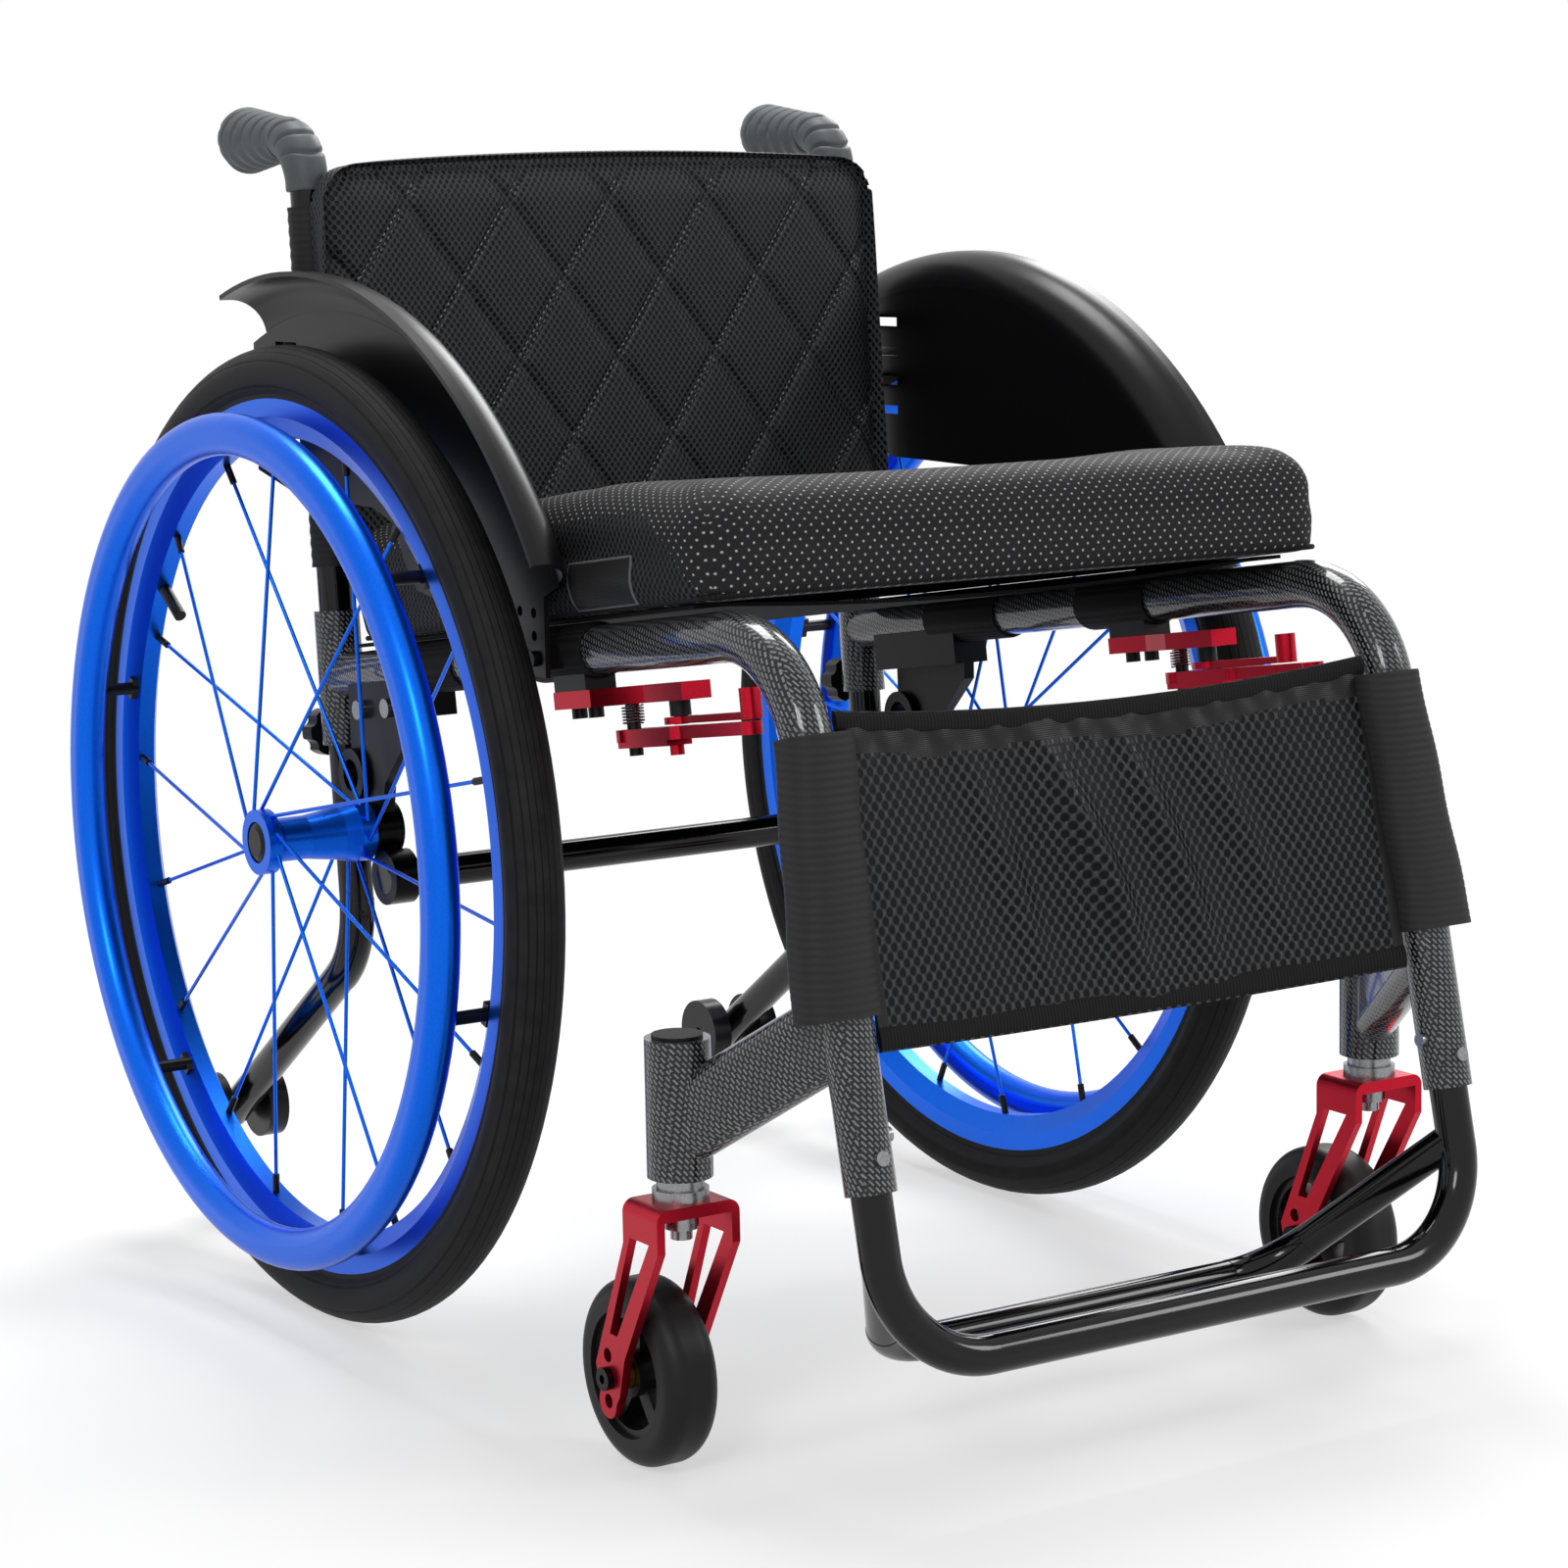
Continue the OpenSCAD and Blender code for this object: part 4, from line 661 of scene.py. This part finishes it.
def makeBackSling(s):
    deselect()
    bpy.ops.mesh.primitive_grid_add(x_subdivisions=44, y_subdivisions=24, size=1)
    piece = bpy.context.object
    wide = 2 * chair["railX"] - s["narrower"]
    piece.scale = (wide, s["high"] - s["low"], 1)
    bpy.ops.object.transform_apply(location=False, rotation=False, scale=True)
    applyModifier(piece, "SOLIDIFY", thickness=s["thick"], offset=0)
    piece.data.transform(backPlace @ Matrix.Translation((0, s["height"], (s["low"] + s["high"]) / 2))
                         @ Matrix.Rotation(math.radians(90), 4, "X"))
    settle(piece, "backSling", finish["mesh"], replaces=["back_sling"])
    makeTubeSleeves(tubeSleeve, s["low"], s["high"])


# Ribbed sleeves of the back sling round the canes
def makeTubeSleeves(s, low, high):
    inner = chair["caneR"] + s["gap"]
    outer = inner + s["wall"]
    profile = [(inner, low), (inner, high)]
    for k in range(s["ribs"] + 1):
        profile.append((outer - s["ribDeep"] * (k % 2), high + (low - high) * k / s["ribs"]))
    cover = turned(profile)
    cover.data.transform(backPlace @ onRight)
    applyModifier(cover, "MIRROR")
    settle(cover, "backTubeSleeves", finish["sleeve"])


makeBackSling(backSling)

# creases: start across the strap, lean and depth; band, hems and sags in metres; sideBand and puckerDown are shares
calfStrap = dict(half=0.1808, top=0.044, tall=0.180, sag=0.009, lowSag=0.002, bow=0.016, thick=0.0022, hem=0.011,
                 lowHem=0.014, hemThick=0.0022, band=0.022, bandWave=0.012, sideBand=0.965, fold=0.003,
                 foldWave=(7.5, -2.6), creaseWide=0.055, creaseFrom=0.2,
                 creases=((-0.52, 0.26, 0.008), (-0.22, 0.34, 0.012), (0.08, 0.30, 0.010), (0.36, 0.36, 0.008)),
                 pucker=0.0006, puckerWaves=((37, 25, 1.0), (61, -18, 0.7)), puckerDown=0.16)


# Place on the strap: u from -1 to 1 across it, v from 0 to 1 down it
def calfPoint(s, u, v):
    hang = math.sin(math.pi * v) * math.cos(math.pi / 2 * u)
    across, down = s["foldWave"]
    fold = s["fold"] * math.sin(across * u + down * v) * hang
    for start, lean, deep in s["creases"]:
        away = (u - start - lean * (v - s["creaseFrom"])) / s["creaseWide"]
        fold -= deep * math.exp(-away ** 2) * hang ** 1.6
    waves = sum(share * math.sin(a * u + b * v) for a, b, share in s["puckerWaves"])
    pucker = s["pucker"] * waves * math.sin(math.pi * min(1, v / s["puckerDown"])) ** 2
    bow = s["bow"] * (1 - u * u) * (0.4 + 0.3 * v)
    sag = s["sag"] * (1 - v) + s["lowSag"] * v
    return Vector((s["half"] * u, bow + fold + pucker, -s["top"] - s["tall"] * v - sag * (1 - u * u)))


def makeCalfStrap(s):
    deselect()
    bpy.ops.mesh.primitive_grid_add(x_subdivisions=150, y_subdivisions=64, size=2)
    piece = bpy.context.object
    shares = [(v.co.x, (1 - v.co.y) / 2) for v in piece.data.vertices]
    for v, (u, w) in zip(piece.data.vertices, shares):
        v.co = calfPoint(s, u, w)
    piece.data.materials.append(finish["calfMesh"])
    piece.data.materials.append(finish["satinBand"])
    for p in piece.data.polygons:
        u = sum(shares[i][0] for i in p.vertices) / len(p.vertices)
        w = sum(shares[i][1] for i in p.vertices) / len(p.vertices)
        if w < s["band"] / s["tall"] + s["bandWave"] * math.sin(7 * u) or abs(u) > s["sideBand"]:
            p.material_index = 1
    faceOutward(piece)
    applyModifier(piece, "SOLIDIFY", thickness=s["thick"], offset=0)
    piece.data.transform(frontPlace)
    settle(piece, "calfStrap", finish["calfMesh"], replaces=["calf_strap"])
    for name, v, wide in (("calfTopHem", 0.0, s["hem"]), ("calfBottomHem", 1.0, s["lowHem"])):
        drop = -wide / 2 if v == 0 else wide / 2
        rings = []
        turns = [2 * math.pi * i / 12 for i in range(12)]
        for k in range(91):
            c = calfPoint(s, -1 + k / 45, v)
            rings.append([c + Vector((0, s["hemThick"] * math.cos(a), wide / 2 * math.sin(a) + drop)) for a in turns])
        hem = skinned(rings)
        hem.data.transform(frontPlace)
        settle(hem, name, finish["binding"])


makeCalfStrap(calfStrap)

# Wide bands closed round the front tubes, drawn in at the top and standing off over the caster arms below
calfSleeves = dict(low=-0.204, high=-0.056, front=0.0178, halfTop=0.0208, halfLow=0.0236, shiftTop=0.0040,
                   shiftLow=-0.0060, wall=0.0026, rib=0.0042, ribDeep=0.0002, square=0.8, wave=(0.0006, 14), points=56,
                   armLow=(-0.243, -0.28213, 0.1966), armHigh=(-0.199, -0.38035, 0.26343), armR=0.0130, armTall=0.010)


# Ring of the sleeve: share from 0 at its top to 1 at its bottom, thin is the distance inside the outer wall
def sleeveRing(s, share, thin):
    half = s["halfTop"] + (s["halfLow"] - s["halfTop"]) * share - thin
    deep = s["front"] - thin
    middle = s["shiftTop"] + (s["shiftLow"] - s["shiftTop"]) * share + s["wave"][0] * math.sin(s["wave"][1] * share)
    out = []
    for i in range(s["points"]):
        a = 2 * math.pi * i / s["points"]
        x = math.copysign(abs(math.cos(a)) ** s["square"], math.cos(a)) * half
        y = math.copysign(abs(math.sin(a)) ** s["square"], math.sin(a)) * deep
        out.append((middle + x, y, s["high"] + (s["low"] - s["high"]) * share))
    return out


def makeCalfSleeves(s):
    count = int((s["high"] - s["low"]) / s["rib"] * 4)
    shell = [sleeveRing(s, k / count, s["ribDeep"] * (k % 4 == 0)) for k in range(count + 1)]
    inside = [sleeveRing(s, k / 8, s["wall"]) for k in range(8, -1, -1)]
    cover = skinned(shell + inside + [shell[0]])
    pick(cover)
    bpy.ops.object.mode_set(mode="EDIT")
    bpy.ops.mesh.select_all(action="DESELECT")
    bpy.ops.object.mode_set(mode="OBJECT")
    for p in cover.data.polygons:
        p.select = len(p.vertices) > 4
    bpy.ops.object.mode_set(mode="EDIT")
    bpy.ops.mesh.select_mode(type="FACE")
    bpy.ops.mesh.delete(type="ONLY_FACE")
    bpy.ops.object.mode_set(mode="OBJECT")
    faceOutward(cover, merge=True)
    cover.data.transform(frontPlace @ onRight)
    start, end = Vector(s["armLow"]), Vector(s["armHigh"])
    run = end - start
    slope = run.normalized().cross(Vector((-run.y, run.x, 0)).normalized())
    for lift in (-1, -0.5, 0, 0.5, 1):
        deselect()
        bpy.ops.mesh.primitive_cylinder_add(radius=s["armR"], depth=run.length, vertices=40)
        cutter = bpy.context.object
        cutter.data.transform(Matrix.Translation((start + end) / 2 + slope * s["armTall"] * lift)
                              @ run.to_track_quat("Z", "Y").to_matrix().to_4x4())
        applyModifier(cover, "BOOLEAN", object=cutter, operation="DIFFERENCE", solver="EXACT")
        bpy.data.objects.remove(cutter)
    applyModifier(cover, "MIRROR")
    settle(cover, "calfSleeves", finish["sleeve"], replaces=["calf_sleeves"])


makeCalfSleeves(calfSleeves)
print("slings, strap and sleeves made")


# Path of the grip: neck on the cane, bend in degrees, tail; then its grooves, thumb ovals and finger ridges
grip = dict(low=0.306, neck=0.006, bendR=0.030, bend=85.7, tail=0.072, neckR=0.0134, endR=0.0205, bore=0.01115,
            boreDeep=0.0156, lip=0.0008, lipIn=0.0006, swell=0.0008, least=0.0004, rings=220, grooves=8, pitch=0.0112,
            grooveDeep=0.0018, grooveWide=0.0011, grooveFrom=0.012, grooveBow=0.005, padAt=0.048, padLong=0.019,
            padUp=0.05, padHigh=0.42, padDeep=0.0009, padLine=0.1, fingerHigh=0.0022, fingerPitch=0.0115,
            fingerSkew=0.006, fingerFrom=0.25, fingerEnd=0.018)


# Ring of points round the grip's path, at a distance along it
def gripRing(s, at, radiusOf, count=48):
    bendLong = s["bendR"] * math.radians(s["bend"])
    if at < s["neck"]:
        t, y, z = 0.0, 0.0, s["low"] + at
    elif at < s["neck"] + bendLong:
        t = (at - s["neck"]) / s["bendR"]
        y, z = s["bendR"] * (1 - math.cos(t)), s["low"] + s["neck"] + s["bendR"] * math.sin(t)
    else:
        t = math.radians(s["bend"])
        run = at - s["neck"] - bendLong
        y = s["bendR"] * (1 - math.cos(t)) + run * math.sin(t)
        z = s["low"] + s["neck"] + s["bendR"] * math.sin(t) + run * math.cos(t)
    ring = []
    for i in range(count):
        a = 2 * math.pi * i / count
        r = radiusOf(at, math.sin(a), math.cos(a))
        ring.append(Vector((r * math.cos(a), y - r * math.sin(a) * math.cos(t), z + r * math.sin(a) * math.sin(t))))
    return ring


def makeGrips(s):
    bendLong = s["bendR"] * math.radians(s["bend"])
    total = s["neck"] + bendLong + s["tail"]

    # up and side are the sine and cosine of the place round the ring
    def radius(at, up, side):
        run = at - s["neck"] - bendLong
        r = s["neckR"]
        if run > 0:
            body = s["tail"] - s["endR"]
            r += (s["endR"] - s["neckR"]) * min(1, run / body)
            if run > body:
                r = math.sqrt(max(0.0, s["endR"] ** 2 - (run - body) ** 2))
        elif at > s["neck"]:
            r += s["swell"] * math.sin(math.pi * (at - s["neck"]) / bendLong)
        if at > s["neck"]:
            over = min(1.0, max(0.0, up * 1.4 + 0.35))
            skew = at - s["neck"] - s["grooveFrom"] - s["grooveBow"] * side * side
            for g in range(s["grooves"]):
                r -= s["grooveDeep"] * over * math.exp(-((skew - s["pitch"] * g) / s["grooveWide"]) ** 2)
            oval = math.hypot((run - s["padAt"]) / s["padLong"], (up - s["padUp"]) / s["padHigh"])
            r -= s["padDeep"] * abs(side) * math.exp(-((oval - 1) / s["padLine"]) ** 2)
            under = max(0.0, -up - s["fingerFrom"])
            if 0 < run < s["tail"] - s["fingerEnd"]:
                wave = math.sin(math.pi * (run + s["fingerSkew"] * side) / s["fingerPitch"])
                r += s["fingerHigh"] * under * wave ** 2
        return max(r, s["least"])

    rings = [gripRing(s, s["boreDeep"], lambda *_: s["bore"]), gripRing(s, 0.0, lambda *_: s["bore"]),
             gripRing(s, 0.0, lambda *_: s["neckR"] - s["lipIn"]), gripRing(s, s["lip"], lambda *_: s["neckR"])]
    for k in range(1, s["rings"] + 1):
        rings.append(gripRing(s, s["lip"] + (total - 0.0009) * k / s["rings"], radius))
    piece = skinned(rings)
    piece.data.transform(backPlace @ onRight)
    applyModifier(piece, "MIRROR")
    settle(piece, "pushGrips", finish["grip"], replaces=["push_grips"])


makeGrips(grip)
print("grips moulded")

# Brass sleeves beside the caster hubs
spacer = dict(radius=0.0079, inner=0.0071, start=0.0137, end=0.0206, stem=(0.243, -0.24413, 0.0525))


def makeSpacers(s, name, side):
    profile = [(s["inner"], s["start"]), (s["radius"], s["start"]), (s["radius"], s["end"]), (s["inner"], s["end"])]
    piece = turned(profile)
    applyModifier(piece, "MIRROR", use_axis=(False, False, True))
    x, y, z = s["stem"]
    piece.data.transform(Matrix.Translation((side * x, y, z)) @ Matrix.Rotation(math.radians(90), 4, "Y"))
    settle(piece, "casterSpacers" + name.capitalize(), finish["brass"], "caster_" + name)


makeSpacers(spacer, "right", -1)
makeSpacers(spacer, "left", 1)


# The floor's own light rises from least to whitest between two distances; each lamp has a place, a size and its watts
studio = dict(floorSize=14.0, floorAt=-0.0005, shadowFrom=0.5, shadowTo=1.9, whitest=1.0, least=0.55, ambient=0.36,
              aim=(0, 0, 0.35),
              lamps=(("topLamp", (0.05, 0.75, 2.7), 1.0, 46), ("keyLamp", (-2.4, -2.2, 2.2), 0.9, 36),
                     ("fillLamp", (2.0, -2.1, 1.9), 0.9, 26), ("backLamp", (1.9, 1.3, 2.1), 1.3, 42)))


# Is this a ray that shows the white surroundings: straight to the camera, or to it by way of metal or glass
def seenRays(owner):
    ray = addNode(owner, "ShaderNodeLightPath").outputs
    two = addNode(owner, "ShaderNodeMath", {"operation": "MAXIMUM"},
                  {0: ray["Is Camera Ray"], 1: ray["Is Glossy Ray"]})
    three = addNode(owner, "ShaderNodeMath", {"operation": "MAXIMUM"},
                    {0: two.outputs[0], 1: ray["Is Transmission Ray"]})
    return three.outputs[0]


def makeStudio(s):
    deselect()
    bpy.ops.mesh.primitive_plane_add(size=s["floorSize"], location=(0, 0, s["floorAt"]))
    floor = bpy.context.object
    floor.name = "studioFloor"
    mat, shader, coords = startMaterial("paleFloor", Roughness=0.9, IOR=1.3)
    shader.inputs["Base Color"].default_value = lin("f4f4f4")
    away = addNode(mat, "ShaderNodeVectorMath", {"operation": "LENGTH"}, {0: coords.outputs["Object"]})
    fade = addNode(mat, "ShaderNodeMapRange", {"From Min": s["shadowFrom"], "From Max": s["shadowTo"],
                                               "To Min": s["least"], "To Max": s["whitest"]},
                   {"Value": away.outputs["Value"]})
    share = addNode(mat, "ShaderNodeMath", {"operation": "MULTIPLY"}, {0: fade.outputs[0], 1: seenRays(mat)})
    glow = addNode(mat, "ShaderNodeEmission", {"Color": (1, 1, 1, 1), "Strength": 1.0})
    both = addNode(mat, "ShaderNodeMixShader", {}, {0: share.outputs[0], 1: shader.outputs[0], 2: glow.outputs[0]})
    mat.node_tree.links.new(both.outputs[0], mat.node_tree.nodes["Material Output"].inputs["Surface"])
    floor.data.materials.append(mat)
    for name, spot, size, power in s["lamps"]:
        data = bpy.data.lights.new(name, "AREA")
        data.size = size
        data.energy = power
        lamp = bpy.data.objects.new(name, data)
        lamp.location = spot
        lamp.rotation_euler = (Vector(s["aim"]) - Vector(spot)).to_track_quat("-Z", "Y").to_euler()
        scene.collection.objects.link(lamp)
    world = bpy.data.worlds.new("studioWorld")
    scene.world = world
    world.use_nodes = True
    light = world.node_tree.nodes["Background"]
    light.inputs["Color"].default_value = (1, 1, 1, 1)
    light.inputs["Strength"].default_value = s["ambient"]
    sky = addNode(world, "ShaderNodeBackground", {"Color": (1, 1, 1, 1), "Strength": 1.0})
    blend = addNode(world, "ShaderNodeMixShader", {}, {0: seenRays(world), 1: light.outputs[0], 2: sky.outputs[0]})
    world.node_tree.links.new(blend.outputs[0], world.node_tree.nodes["World Output"].inputs["Surface"])


makeStudio(studio)

# Camera solved from the near wheel's circles: its place, its three axes and its lens on a 36 mm sensor
camera = dict(spot=(-1.2885, -2.0265, 0.6942), right=(0.8406, -0.5414, -0.0189), up=(0.0981, 0.1178, 0.9882),
              forward=(0.5328, 0.8325, -0.1521), lens=89.4)


def makeCamera(s):
    data = bpy.data.cameras.new("photoCamera")
    data.sensor_width = 36
    data.lens = s["lens"]
    view = bpy.data.objects.new("photoCamera", data)
    r, u, f = Vector(s["right"]), Vector(s["up"]), Vector(s["forward"])
    turn = Matrix(((r.x, u.x, -f.x), (r.y, u.y, -f.y), (r.z, u.z, -f.z)))
    view.matrix_world = Matrix.Translation(s["spot"]) @ turn.to_4x4()
    scene.collection.objects.link(view)
    scene.camera = view


makeCamera(camera)
scene.view_settings.view_transform = "Standard"

print("scene ready")
